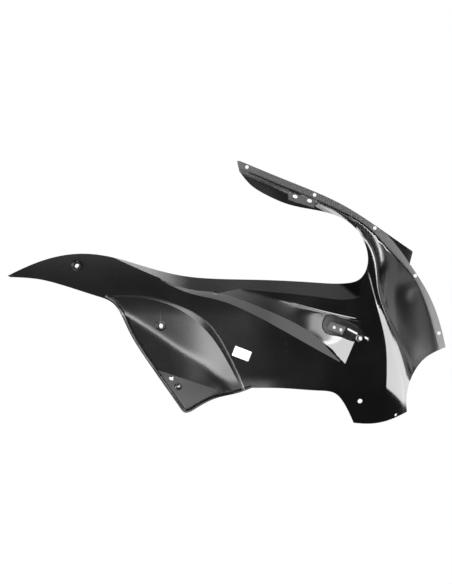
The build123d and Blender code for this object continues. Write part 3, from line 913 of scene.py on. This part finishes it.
    def face(self, places: np.ndarray) -> np.ndarray:
        """Depth of the inner face: the form less joggle and rim, flattened on the pad and in the recess.

        Args:
            places: Places, one per row.

        Returns:
            The depth at each place, without the tab's setback.
        """
        depth = self.form.inner(*places.T) - self.joggle * self.flange_share(places) - self.rim_rise(places)
        depth += self.pad_share(places) * (self.mirror_seat().depth(places) - depth)
        floor = self.signal_floor()
        depth += self.leaf_share(places) * (floor.depth(places) - depth)
        return depth - self.plate_share(places) * self.plate_rise * floor.stretch

    def guide_lines(self) -> list[np.ndarray]:
        """Open lines that the mesh follows: crisp creases, and both sides of rounded creases and of steps.

        Returns:
            The lines, one array of places each.
        """
        lines, rounded = self.form.crease_lines(self.mesh_step)
        for line in rounded:
            lines += [moved_aside(line, self.crease_round), moved_aside(line, -self.crease_round)]
        flange = smooth_curve(self.flange_line, self.mesh_step)
        lines += [flange, moved_aside(flange, self.joggle_run)]
        rim = self.rim_line()
        lines += [moved_aside(rim, side * self.rim_half) for side in self.rim_guides]
        under_tab = smooth_curve(self.edge_under_tab, self.mesh_step)
        return lines + [under_tab, moved_aside(under_tab, self.tab_run)]

    def guide_loops(self) -> list[np.ndarray]:
        """Closed lines that the mesh follows: the borders of pad, recess and plate, at top and foot.

        Returns:
            The loops, one array of places each.
        """
        leaf = closed_curve(self.leaf, self.recess_step)
        leaf_foot = moved_aside(np.concatenate([leaf[-1:], closed(leaf)]), -self.leaf_run)[1:-1]
        plate = np.array(self.plate)
        away = plate - plate.mean(axis=0)
        corner = self.plate_diagonal * self.plate_run
        plate_top = plate.mean(axis=0) + away * (1 - corner / np.linalg.norm(away, axis=1))[:, None]
        loops = [self.pad_loop(0.0), self.pad_loop(self.pad_run), leaf, leaf_foot]
        return loops + [walked(closed(loop), self.recess_step)[:-1] for loop in (plate, plate_top)]

    def cut_at(self, line: np.ndarray, rims: list[Rim]) -> list[np.ndarray]:
        """Parts of a guide line that keep clear of every hole's rim.

        Args:
            line: The guide line.
            rims: The holes' rims.

        Returns:
            The parts with two places or more.
        """
        inside = np.max([depth_inside(line, rim.loop) for rim in rims], axis=0)
        clear = inside < -self.rim_room
        parts = np.split(np.arange(len(line)), np.flatnonzero(np.diff(clear)) + 1)
        return [line[part] for part in parts if clear[part[0]] and len(part) > 1]

    def free_places(self, outline: np.ndarray, fixed: np.ndarray) -> np.ndarray:
        """A triangular grid of places inside the outline, without those that crowd fixed ones.

        Args:
            outline: The panel's outline.
            fixed: Places of the outline, the rims and the guides.

        Returns:
            The free places.
        """
        low, high = outline.min(axis=0), outline.max(axis=0)
        row_step = self.mesh_step * np.sqrt(3) / 2
        x, z = np.meshgrid(np.arange(low[0], high[0], self.mesh_step), np.arange(low[1], high[1], row_step))
        x = x + (np.arange(len(z)) % 2)[:, None] * self.mesh_step / 2
        free = np.stack([x.ravel(), z.ravel()], axis=1)
        free = free[within(free, outline)]
        return free[~self.crowded(free, fixed, self.mesh_room * self.mesh_step)]

    def sheet(self) -> tuple[np.ndarray, np.ndarray, np.ndarray, list[Rim]]:
        """Triangles over the outline that follow every rim, crease and step.

        A constrained triangulation of the outline, the rims, the guides and a triangular grid of places
        between them, of which the triangles inside the outline and outside the holes are kept.

        Returns:
            The places, the triangles, whether each place lies on the outline, and the rims.
        """
        outline, rims = self.outline(), self.rims()
        loops = [outline] + [rim.loop for rim in rims] + self.guide_loops()
        lines = [part for line in self.guide_lines() for part in self.cut_at(line, rims)]
        fixed = np.concatenate(loops + lines)
        edges, first = [], 0
        for line in loops + lines:
            number = first + np.arange(len(line))
            edges.append(np.stack([number, np.roll(number, -1)], axis=1))
            first += len(line)
        edges = edges[:len(loops)] + [open_edges[:-1] for open_edges in edges[len(loops):]]
        given = [Vector(p) for p in np.concatenate([fixed, self.free_places(outline, fixed)]).tolist()]
        made, _, triangles, *_ = delaunay_2d_cdt(
            given, np.concatenate(edges).tolist(), [], 0, self.merge_reach, False)
        places, triangles = np.array([p[:] for p in made]), np.array(triangles)
        middle = places[triangles].mean(axis=1)
        keep = within(middle, outline)
        for rim in rims:
            keep &= ~within(middle, rim.loop)
        used, triangles = np.unique(triangles[keep], return_inverse=True)
        places, triangles = places[used], triangles.reshape(-1, 3)
        on_edge = nearest_on(places, closed(outline))[0] < self.edge_reach
        return places, triangles, on_edge, rims

    @staticmethod
    def crowded(free: np.ndarray, fixed: np.ndarray, room: float) -> np.ndarray:
        """Whether free places lie close to fixed ones, by a table of small cells.

        Args:
            free: Places that are tried.
            fixed: Places that they keep clear of.
            room: The distance that counts as close.

        Returns:
            True for each free place that is too close.
        """
        reach = 2
        cell = room / reach
        low = np.minimum(free.min(axis=0), fixed.min(axis=0)) - 2 * reach * cell
        high = np.maximum(free.max(axis=0), fixed.max(axis=0))
        taken = np.zeros(((high - low) / cell).astype(int) + 3 * reach, dtype=bool)
        at = ((fixed - low) / cell).astype(int)
        for step_x in range(-reach, reach + 1):
            for step_z in range(-reach, reach + 1):
                taken[at[:, 0] + step_x, at[:, 1] + step_z] = True
        here = ((free - low) / cell).astype(int)
        return taken[here[:, 0], here[:, 1]]

    def outer_points(self, places: np.ndarray, inner: np.ndarray, on_edge: np.ndarray,
                     rims: list[Rim]) -> np.ndarray:
        """Points of the outer face: a wall's thickness along y, and square to the wall round each hole.

        Args:
            places: Places of the inner face.
            inner: Depths of the inner face without the tab's setback.
            on_edge: Whether a place lies on the outline, where the wall is cut along y.
            rims: Rims of the holes.

        Returns:
            The points in space.
        """
        along_x, along_z = self.form.slopes(*places.T, self.form.slope_reach)
        stretch = np.sqrt(1 + along_x ** 2 + along_z ** 2)
        shift = np.zeros((len(places), 3))
        square = np.zeros(len(places))
        for rim in rims:
            middle = rim.loop.mean(axis=0)
            reach = np.linalg.norm(rim.loop - middle, axis=1).max() + self.rim_slack
            away = np.linalg.norm(places - middle, axis=1)
            near = np.clip((reach + self.hole_land - away) / self.hole_land, 0, 1)
            share = np.where(on_edge, 0.0, near)
            stronger = share > square
            square = np.where(stronger, share, square)
            shift = np.where(stronger[:, None], share[:, None] * rim.through, shift)
        return in_space(places, inner + (1 - square) * self.wall * stretch) + shift

    def boss_tube(self, seat: Seat, middle: np.ndarray, boss: Boss) -> tuple[np.ndarray, Faces]:
        """A boss as a profile carried round its hole: the bore through the wall, rounded top and flared foot.

        Args:
            seat: Plane that the boss stands on.
            middle: Middle of the boss in the plane.
            boss: Its sizes.

        Returns:
            The points and faces.
        """
        outside, bore = boss.diameter / 2, boss.hole / 2
        profile = np.concatenate([
            [(bore, -self.wall)], np.array(self.boss_bore) + (bore, boss.height),
            np.array(self.boss_brow) + (outside, boss.height), np.array(self.boss_foot) + (outside, 0.0)])
        circle = ring(self.boss_points)
        flat = profile[:, None, :1] * circle + middle
        high = np.broadcast_to(profile[:, None, 1:], flat.shape[:2] + (1,))
        points = seat.points(np.concatenate([flat, high], axis=2).reshape(-1, 3))
        return points, grid_faces(len(profile), len(circle), round_columns=True)

    def rib(self) -> tuple[np.ndarray, Faces]:
        """The rib above the side boss: a rounded profile carried along a line and closed at its ends.

        It starts inside the boss's wall.

        Returns:
            The points and faces.
        """
        boss, half = self.bosses[1], self.rib_width / 2
        right = np.concatenate([np.array(self.rib_foot) + (half, 0.0),
                                np.array(self.rib_top) + (half, self.rib_height)])
        profile = np.concatenate([right, right[::-1] * (-1, 1)])
        start = (boss.diameter + boss.hole) / 4
        run = np.linspace(start, boss.diameter / 2 + self.rib_length, self.rib_steps)
        local = np.stack(np.broadcast_arrays(profile[None, :, 0], run[:, None], profile[None, :, 1]), axis=-1)
        faces = grid_faces(len(run), len(profile))
        last = len(profile) * (len(run) - 1)
        faces += [tuple(range(len(profile))), tuple(range(last + len(profile) - 1, last - 1, -1))]
        return self.seat(boss.place).points(local.reshape(-1, 3)), faces

    @staticmethod
    def border_walls(triangles: np.ndarray, count: int) -> np.ndarray:
        """Quads between the two faces along every edge that only one triangle has.

        Args:
            triangles: Triangles of the inner face.
            count: Number of its points, by which the outer face's numbers are higher.

        Returns:
            The quads.
        """
        runs = np.concatenate([triangles[:, [0, 1]], triangles[:, [1, 2]], triangles[:, [2, 0]]])
        code = np.sort(runs, axis=1) @ np.array([count, 1])
        _, index, times = np.unique(code, return_index=True, return_counts=True)
        start, end = runs[index[times == 1]].T
        return np.stack([end, start, start + count, end + count], axis=1)

    def mark_sharp(self, piece: bpy.types.Object, places: np.ndarray) -> None:
        """Mark sharp edges: those with a wide angle and those that lie on a crisp crease of the inner face.

        Args:
            piece: The panel's object, whose first points are the inner face.
            places: Places of the inner face's points.
        """
        mesh = piece.data
        mesh.set_sharp_from_angle(angle=np.radians(self.sharp_angle))
        on_crease = np.zeros(len(mesh.vertices), dtype=bool)
        for line in self.form.crease_lines(self.mesh_step)[0]:
            on_crease[:len(places)] |= nearest_on(places, line)[0] < self.crisp_reach
        ends = np.empty(2 * len(mesh.edges), dtype=np.int32)
        mesh.edges.foreach_get("vertices", ends)
        sharp = np.empty(len(mesh.edges), dtype=bool)
        marks = mesh.attributes["sharp_edge"].data
        marks.foreach_get("value", sharp)
        marks.foreach_set("value", sharp | on_crease[ends.reshape(-1, 2)].all(axis=1))

    def mark_finish(self, piece: bpy.types.Object, places: np.ndarray, points: np.ndarray) -> None:
        """Store how matte, how far outside and how satin each point is, for the material.

        Args:
            piece: The panel's object, whose points are inner face, outer face, bosses and rib.
            places: Places of the inner face's points.
            points: All points.
        """
        count = len(places)
        matte, outside = np.zeros(len(points)), np.zeros(len(points))
        flange = self.flange_share(places) * (1 - self.tab_share(places))
        matte[:count] = np.maximum.reduce([flange, self.pad_share(places), self.plate_share(places)])
        outside[count:2 * count] = 1.0
        satin = np.clip((self.satin_reach[0] - points[:, 0]) / self.satin_reach[1], 0, 1)
        for name, values in (("matte", matte), ("outside", outside), ("satin", satin)):
            piece.data.attributes.new(name, "FLOAT", "POINT").data.foreach_set("value", values)

    def build(self) -> bpy.types.Object:
        """Make the moulding: inner and outer face, the walls between them, bosses and rib in one mesh.

        Returns:
            The panel's object, with its finish as attributes.
        """
        places, triangles, on_edge, rims = self.sheet()
        depth, count = self.face(places), len(places)
        points = [in_space(places, depth + self.tab_setback * self.tab_share(places)),
                  self.outer_points(places, depth, on_edge, rims)]
        faces = triangles.tolist() + (triangles[:, ::-1] + count).tolist()
        faces += self.border_walls(triangles, count).tolist()
        extras = [self.boss_tube(self.seat(boss.place), np.zeros(2), boss) for boss in self.bosses]
        floor = self.signal_floor()
        middle = floor.local(np.array([self.signal_boss.place]))[0]
        extras += [self.boss_tube(floor, middle, self.signal_boss), self.rib()]
        first = 2 * count
        for extra_points, extra_faces in extras:
            points.append(extra_points)
            faces += [tuple(first + i for i in face) for face in extra_faces]
            first += len(extra_points)
        points = np.concatenate(points)
        piece = put_mesh("fairing_moulding", points, faces)
        self.mark_sharp(piece, places)
        self.mark_finish(piece, places, points)
        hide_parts("fairing_panel")
        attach(piece, "root")
        return piece


@dataclass
class PaperSticker:
    """The blank sticker: a thin sheet that lies on the side, a little wavy."""

    panel: FairingPanel
    middle: Place = (-102.5, -263.3)
    length: float = 29.5
    height: float = 17.0
    thickness: float = 0.3
    turn: float = 21.0
    gap: float = 0.05
    wave: float = 0.06
    wave_lengths: Span = (4.1, 3.3)
    wave_shift: float = 1.0
    rows: int = 16
    columns: int = 28
    sharp_angle: float = 40.0

    def build(self) -> bpy.types.Object:
        """Make the sheet as two grids, face and back, joined round their edge.

        The face lies a thickness over the seat, less a small wave: the product of two sines of the place.

        Returns:
            The sticker's object.
        """
        across = np.linspace(-0.5, 0.5, self.columns) * self.length
        upward = np.linspace(-0.5, 0.5, self.rows) * self.height
        a, b = np.meshgrid(across, upward)
        waves = np.sin(a / self.wave_lengths[0]) * np.sin(b / self.wave_lengths[1] + self.wave_shift)
        wave = self.wave * (1 + waves) / 2
        face = np.stack([a, b, self.gap + self.thickness - wave], axis=-1).reshape(-1, 3)
        back = np.stack([a, b, np.full_like(a, self.gap)], axis=-1).reshape(-1, 3)
        count = len(face)
        number = np.arange(count).reshape(self.rows, self.columns)
        edge = np.concatenate([number[0, :-1], number[:-1, -1], number[-1, :0:-1], number[:0:-1, 0]])
        ahead = np.roll(edge, -1)
        walls = np.stack([edge, edge + count, ahead + count, ahead], axis=1).tolist()
        faces = [quad[::-1] for quad in grid_faces(self.rows, self.columns)]
        faces += grid_faces(self.rows, self.columns, count) + walls
        points = self.panel.seat(self.middle).points(np.concatenate([face, back]), self.turn)
        piece = put_mesh("sticker_sheet", points, faces)
        piece.data.set_sharp_from_angle(angle=np.radians(self.sharp_angle))
        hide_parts("paper_sticker")
        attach(piece, "root")
        return piece


class Nodes:
    """Shorthand for making and linking the nodes of one tree."""

    def __init__(self, tree: bpy.types.NodeTree) -> None:
        """Start on an empty tree."""
        self.tree = tree
        tree.nodes.clear()

    def add(self, kind: str, inputs: dict | None = None, **settings: object) -> bpy.types.Node:
        """Make a node.

        Args:
            kind: Name of the node type.
            inputs: Values or output sockets for its inputs, by name or number.
            settings: Properties of the node.

        Returns:
            The node.
        """
        node = self.tree.nodes.new(kind)
        for name, value in settings.items():
            setattr(node, name, value)
        for key, value in (inputs or {}).items():
            if isinstance(value, bpy.types.NodeSocket):
                self.tree.links.new(value, node.inputs[key])
            else:
                node.inputs[key].default_value = value
        return node

    def math(self, operation: str, first: object, second: object) -> bpy.types.NodeSocket:
        """Result of one operation on two values."""
        return self.add("ShaderNodeMath", {0: first, 1: second}, operation=operation).outputs[0]

    def mix(self, blend: Blend, share: object, first: object, second: object) -> bpy.types.NodeSocket:
        """Blend of two values or colours.

        Args:
            blend: What is blended.
            share: Share of the second one.
            first: First value or colour, or an output socket of it.
            second: Second value or colour, or an output socket of it.

        Returns:
            The output socket of the blend.
        """
        kind, first_input, second_input, result = blend.value
        inputs = {0: share, first_input: first, second_input: second}
        return self.add("ShaderNodeMix", inputs, data_type=kind).outputs[result]

    def ramp(self, value: object, given: Span, wanted: Span = (0.0, 1.0)) -> bpy.types.NodeSocket:
        """A value carried from one range to another, held at both ends.

        Args:
            value: Output socket of the value.
            given: Range that the value comes from.
            wanted: Range that it goes to.

        Returns:
            The output socket of the result.
        """
        inputs = {"Value": value, "From Min": given[0], "From Max": given[1],
                  "To Min": wanted[0], "To Max": wanted[1]}
        return self.add("ShaderNodeMapRange", inputs).outputs[0]

    def attribute(self, name: str) -> bpy.types.NodeSocket:
        """Value of a named attribute of the mesh."""
        return self.add("ShaderNodeAttribute", attribute_name=name).outputs["Fac"]

    def place(self) -> bpy.types.NodeSocket:
        """Object coordinates."""
        return self.add("ShaderNodeTexCoord").outputs["Object"]

    def surface(self, inputs: dict) -> None:
        """Make the surface shader with its inputs and join it to the material's output."""
        shader = self.add("ShaderNodeBsdfPrincipled", inputs)
        self.add("ShaderNodeOutputMaterial", {"Surface": shader.outputs["BSDF"]})


def new_material(name: str) -> tuple[bpy.types.Material, Nodes]:
    """A new material and its nodes, still empty.

    Args:
        name: Name of the material.

    Returns:
        The material and its nodes.
    """
    made = bpy.data.materials.new(name)
    made.use_nodes = True
    return made, Nodes(made.node_tree)


def new_group(name: str, inputs: dict[str, float], outputs: tuple[str, ...]) -> bpy.types.NodeTree:
    """Make an empty node group whose sockets are plain values.

    Args:
        name: Name of the group.
        inputs: Default value of each input.
        outputs: Names of the outputs.

    Returns:
        The group.
    """
    tree = bpy.data.node_groups.new(name, "ShaderNodeTree")
    for socket, default in inputs.items():
        made = tree.interface.new_socket(socket, in_out="INPUT", socket_type="NodeSocketFloat")
        made.default_value = default
    for socket in outputs:
        tree.interface.new_socket(socket, in_out="OUTPUT", socket_type="NodeSocketFloat")
    return tree


@dataclass(frozen=True)
class SurfaceGrain:
    """Fine surface grain: noise of a given scale as a height, and a coarser one as a mask of patches."""

    scale: float = 900.0
    patch_scale: float = 14.0
    detail: float = 2.0
    roughness: float = 0.6
    patch_detail: float = 5.0
    patch_range: Span = (0.35, 0.70)

    def group(self) -> bpy.types.NodeTree:
        """Make the node group.

        Returns:
            The group, with inputs Scale and Patch Scale and outputs Height and Patches.
        """
        tree = new_group("surface_grain", {"Scale": self.scale, "Patch Scale": self.patch_scale},
                         ("Height", "Patches"))
        nodes = Nodes(tree)
        given = nodes.add("NodeGroupInput").outputs
        place = nodes.place()
        fine = nodes.add("ShaderNodeTexNoise", {"Vector": place, "Scale": given["Scale"],
                                                "Detail": self.detail, "Roughness": self.roughness})
        coarse = nodes.add("ShaderNodeTexNoise", {"Vector": place, "Scale": given["Patch Scale"],
                                                  "Detail": self.patch_detail})
        patches = nodes.ramp(coarse.outputs["Fac"], self.patch_range)
        nodes.add("NodeGroupOutput", {"Height": fine.outputs["Fac"], "Patches": patches})
        return tree


@dataclass(frozen=True)
class DustSpecks:
    """Dust specks: small cells of which a few are kept, thinned out by a wide noise."""

    scale: float = 260.0
    amount: float = 0.3
    speck_range: Span = (0.05, 0.16)
    kept_above: float = 0.86
    wide_scale: float = 9.0
    wide_detail: float = 3.0
    wide_range: Span = (0.42, 0.68)

    def group(self) -> bpy.types.NodeTree:
        """Make the node group.

        Returns:
            The group, with inputs Scale and Amount and the output Dust.
        """
        tree = new_group("dust_specks", {"Scale": self.scale, "Amount": self.amount}, ("Dust",))
        nodes = Nodes(tree)
        given = nodes.add("NodeGroupInput").outputs
        place = nodes.place()
        cells = nodes.add("ShaderNodeTexVoronoi", {"Vector": place, "Scale": given["Scale"]}).outputs
        near = nodes.ramp(cells["Distance"], self.speck_range, (1.0, 0.0))
        chosen = nodes.math("GREATER_THAN", cells["Color"], self.kept_above)
        wide = nodes.add("ShaderNodeTexNoise", {"Vector": place, "Scale": self.wide_scale,
                                                "Detail": self.wide_detail})
        share = nodes.math("MULTIPLY", nodes.ramp(wide.outputs["Fac"], self.wide_range), given["Amount"])
        specks = nodes.math("MULTIPLY", nodes.math("MULTIPLY", near, chosen), share)
        nodes.add("NodeGroupOutput", {"Dust": specks})
        return tree


@dataclass(frozen=True)
class BlackPlastic:
    """Black moulded plastic: satin inside, duller on flange, pad and plate, glossy outside, lightly dusty."""

    colour: Colour = (0.0020, 0.0020, 0.0022, 1.0)
    matte_colour: Colour = (0.011, 0.011, 0.012, 1.0)
    dust_colour: Colour = (0.30, 0.29, 0.28, 1.0)
    smooth: float = 0.07
    satin: float = 0.24
    dull: float = 0.55
    gloss: float = 0.06
    patch_roughness: float = 0.05
    grain_scale: float = 1300.0
    grain_height: float = 0.02
    grain_strength: float = 0.25
    refraction: float = 1.52

    def material(self, grain: bpy.types.NodeTree, dust: bpy.types.NodeTree) -> bpy.types.Material:
        """Make the material.

        Args:
            grain: Node group of surface grain.
            dust: Node group of dust specks.

        Returns:
            The material.
        """
        made, nodes = new_material("black_plastic")
        fine = nodes.add("ShaderNodeGroup", {"Scale": self.grain_scale}, node_tree=grain).outputs
        specks = nodes.add("ShaderNodeGroup", node_tree=dust).outputs["Dust"]
        matte = nodes.attribute("matte")
        clean = nodes.mix(Blend.COLOUR, matte, self.colour, self.matte_colour)
        polish = nodes.mix(Blend.VALUE, nodes.attribute("satin"), self.smooth, self.satin)
        worn = nodes.math("ADD", polish, nodes.math("MULTIPLY", fine["Patches"], self.patch_roughness))
        inside = nodes.mix(Blend.VALUE, matte, worn, self.dull)
        bump = nodes.add("ShaderNodeBump", {"Strength": self.grain_strength, "Height": fine["Height"],
                                            "Distance": self.grain_height * MM})
        nodes.surface({"Base Color": nodes.mix(Blend.COLOUR, specks, clean, self.dust_colour),
                       "Roughness": nodes.mix(Blend.VALUE, nodes.attribute("outside"), inside, self.gloss),
                       "Normal": bump.outputs["Normal"], "IOR": self.refraction})
        return made


@dataclass(frozen=True)
class StickerPaper:
    """White uncoated paper with a faint grain."""

    colour: Colour = (0.86, 0.86, 0.85, 1.0)
    soiled: Colour = (0.78, 0.77, 0.75, 1.0)
    roughness: float = 0.6
    fibre_scale: float = 2200.0
    patch_scale: float = 90.0
    fibre_height: float = 0.03
    fibre_strength: float = 0.3

    def material(self, grain: bpy.types.NodeTree) -> bpy.types.Material:
        """Make the material, slightly soiled where the grain group's patches lie.

        Args:
            grain: Node group of surface grain.

        Returns:
            The material.
        """
        made, nodes = new_material("sticker_paper")
        scales = {"Scale": self.fibre_scale, "Patch Scale": self.patch_scale}
        fibres = nodes.add("ShaderNodeGroup", scales, node_tree=grain).outputs
        bump = nodes.add("ShaderNodeBump", {"Strength": self.fibre_strength, "Height": fibres["Height"],
                                            "Distance": self.fibre_height * MM})
        nodes.surface({"Base Color": nodes.mix(Blend.COLOUR, fibres["Patches"], self.colour, self.soiled),
                       "Roughness": self.roughness, "Normal": bump.outputs["Normal"]})
        return made


@dataclass(frozen=True)
class Softbox:
    """A flat studio lamp: where it stands, what it faces, its size in metres and its brightness."""

    name: str
    place: Point
    aim: Point
    size: tuple[float, float]
    brightness: float

    def build(self) -> None:
        """Make the lamp; its power is brightness times pi times area."""
        lamp = bpy.data.lights.new(self.name, "AREA")
        lamp.shape = "RECTANGLE"
        lamp.size, lamp.size_y = self.size
        lamp.energy = self.brightness * np.pi * self.size[0] * self.size[1]
        holder = bpy.data.objects.new(self.name, lamp)
        holder.location = self.place
        holder.rotation_euler = (Vector(self.aim) - Vector(self.place)).to_track_quat("-Z", "Y").to_euler()
        bpy.context.collection.objects.link(holder)


@dataclass
class Studio:
    """Floor that is pale to the camera but painted shade with a painted reflection patch for everything else,
    white surroundings for the camera, softboxes and the camera of the photograph.
    """

    frame_height: float = 0.993
    look_at: tuple[float, float] = (-0.1295, -0.158)
    distance: float = 12.0
    sensor: float = 24.0
    far_end: float = 100.0
    floor_z: float = -1.45
    floor_reach: float = 4.0
    floor_colour: Colour = (0.72, 0.72, 0.72, 1.0)
    floor_roughness: float = 0.9
    # Painted shade and a painted reflection patch on the floor, seen only by reflections and bounced light:
    # dark everywhere except the patch, which shows a share of the floor colour.
    reflected_shade_colour: Colour = (0.02, 0.02, 0.02, 1.0)
    reflected_patch_share: float = 0.4
    reflected_patch_low: tuple[float, float] = (-0.58, -0.5)
    reflected_patch_high: tuple[float, float] = (3.0, 0.0)
    around: float = 0.02
    softboxes: tuple[Softbox, ...] = (
        Softbox("left_softbox", (-1.40, -1.12, -0.11), (0.0, -0.32, -0.15), (1.75, 1.06), 15.0),
        Softbox("blade_softbox", (0.48, -1.66, 1.43), (0.0, 0.0, -0.23), (1.0, 0.7), 3.0),
        Softbox("corner_softbox", (0.72, -0.1, 1.44), (-0.2, 0.0, -0.32), (1.0, 0.8), 4.6),
        Softbox("strip_softbox", (-0.18, -1.60, 1.65), (0.04, 0.0, -0.19), (0.35, 0.9), 18.0),
        Softbox("front_softbox", (1.0, -3.6, 1.06), (-0.2, 0.0, -0.27), (1.7, 1.05), 15.0),
        Softbox("scoop_softbox", (-1.02, -1.58, -0.74), (0.04, 0.0, -0.22), (0.5, 0.62), 8.0),
        Softbox("ridge_softbox", (-0.52, -0.50, -1.0), (-0.2, 0.0, -0.2), (0.45, 0.4), 7.0),
        Softbox("eye_softbox", (-1.08, 0.32, -0.93), (0.12, 0.0, -0.08), (0.8, 0.8), 20.0),
        Softbox("arm_softbox", (-0.40, -0.11, -0.80), (0.04, 0.0, -0.02), (0.26, 0.14), 12.0),
        Softbox("band_softbox", (-1.85, -0.06, -0.13), (0.17, 0.0, -0.28), (0.62, 1.0), 14.0),
        Softbox("tail_softbox", (0.21, -1.30, -1.22), (-0.40, 0.0, -0.10), (0.6, 0.36), 1.6),
        Softbox("back_softbox", (0.0, 2.2, 1.4), (-0.1, 0.0, -0.2), (2.4, 1.2), 2.0),
    )

    def build_floor(self) -> None:
        """Make a floor that is pale to the camera; reflections and bounced light see painted shade, dark,
        except for a painted reflection patch of dim grey.
        """
        reach = self.floor_reach
        corners = np.array([(-reach, -reach), (reach, -reach), (reach, reach), (-reach, reach)])
        points = np.column_stack([corners, np.full(4, self.floor_z)]) / MM
        floor = put_mesh("studio_floor", points, [(0, 1, 2, 3)])
        paint, nodes = new_material("floor_painted_reflection")
        across = nodes.add("ShaderNodeSeparateXYZ", {"Vector": nodes.place()}).outputs
        # Painted reflection patch: a share of the floor colour inside the given x and y ranges, painted shade
        # outside them.
        painted_patch = self.reflected_patch_share
        for axis in (0, 1):
            above = nodes.math("GREATER_THAN", across[axis], self.reflected_patch_low[axis])
            below = nodes.math("LESS_THAN", across[axis], self.reflected_patch_high[axis])
            painted_patch = nodes.math("MULTIPLY", painted_patch, nodes.math("MULTIPLY", above, below))
        seen = nodes.add("ShaderNodeLightPath").outputs["Is Camera Ray"]
        shown = nodes.math("MAXIMUM", painted_patch, seen)
        nodes.surface({"Base Color": nodes.mix(Blend.COLOUR, shown, self.reflected_shade_colour, self.floor_colour),
                       "Roughness": self.floor_roughness})
        floor.data.materials.append(paint)

    def build_world(self) -> None:
        """Make surroundings that are white to the camera and dim to everything else."""
        world = bpy.data.worlds.new("studio")
        world.use_nodes = True
        bpy.context.scene.world = world
        nodes = Nodes(world.node_tree)
        seen = nodes.add("ShaderNodeLightPath").outputs["Is Camera Ray"]
        level = nodes.ramp(seen, (0.0, 1.0), (self.around, 1.0))
        light = nodes.add("ShaderNodeBackground", {"Color": WHITE, "Strength": level})
        nodes.add("ShaderNodeOutputWorld", {"Surface": light.outputs["Background"]})

    def build_camera(self) -> None:
        """Place the camera far off, square to the side, so that the frame is as high as the photograph's."""
        camera = bpy.data.cameras.new("camera")
        camera.sensor_fit = "VERTICAL"
        camera.sensor_height = self.sensor
        camera.lens = self.sensor * self.distance / self.frame_height
        camera.clip_end = self.far_end
        holder = bpy.data.objects.new("camera", camera)
        holder.location = (self.look_at[0], -self.distance, self.look_at[1])
        holder.rotation_euler = (np.pi / 2, 0.0, 0.0)
        bpy.context.collection.objects.link(holder)
        bpy.context.scene.camera = holder

    def build(self) -> None:
        """Make floor, surroundings, lamps and camera."""
        self.build_floor()
        self.build_world()
        for softbox in self.softboxes:
            softbox.build()
        self.build_camera()
        bpy.context.scene.view_settings.view_transform = "Standard"


def main() -> None:
    """Build the pieces in order, dress them, set the stage and note the sizes."""
    logging.basicConfig(level=logging.INFO, format="%(name)s: %(message)s")
    grain, dust = SurfaceGrain().group(), DustSpecks().group()
    panel = FairingPanel(SideForm())
    moulding = panel.build()
    moulding.data.materials.append(BlackPlastic().material(grain, dust))
    LOG.info("moulding: %d faces", len(moulding.data.polygons))
    sticker = PaperSticker(panel).build()
    sticker.data.materials.append(StickerPaper().material(grain))
    LOG.info("sticker: %d faces", len(sticker.data.polygons))
    Studio().build()


if __name__ == "__main__":
    main()
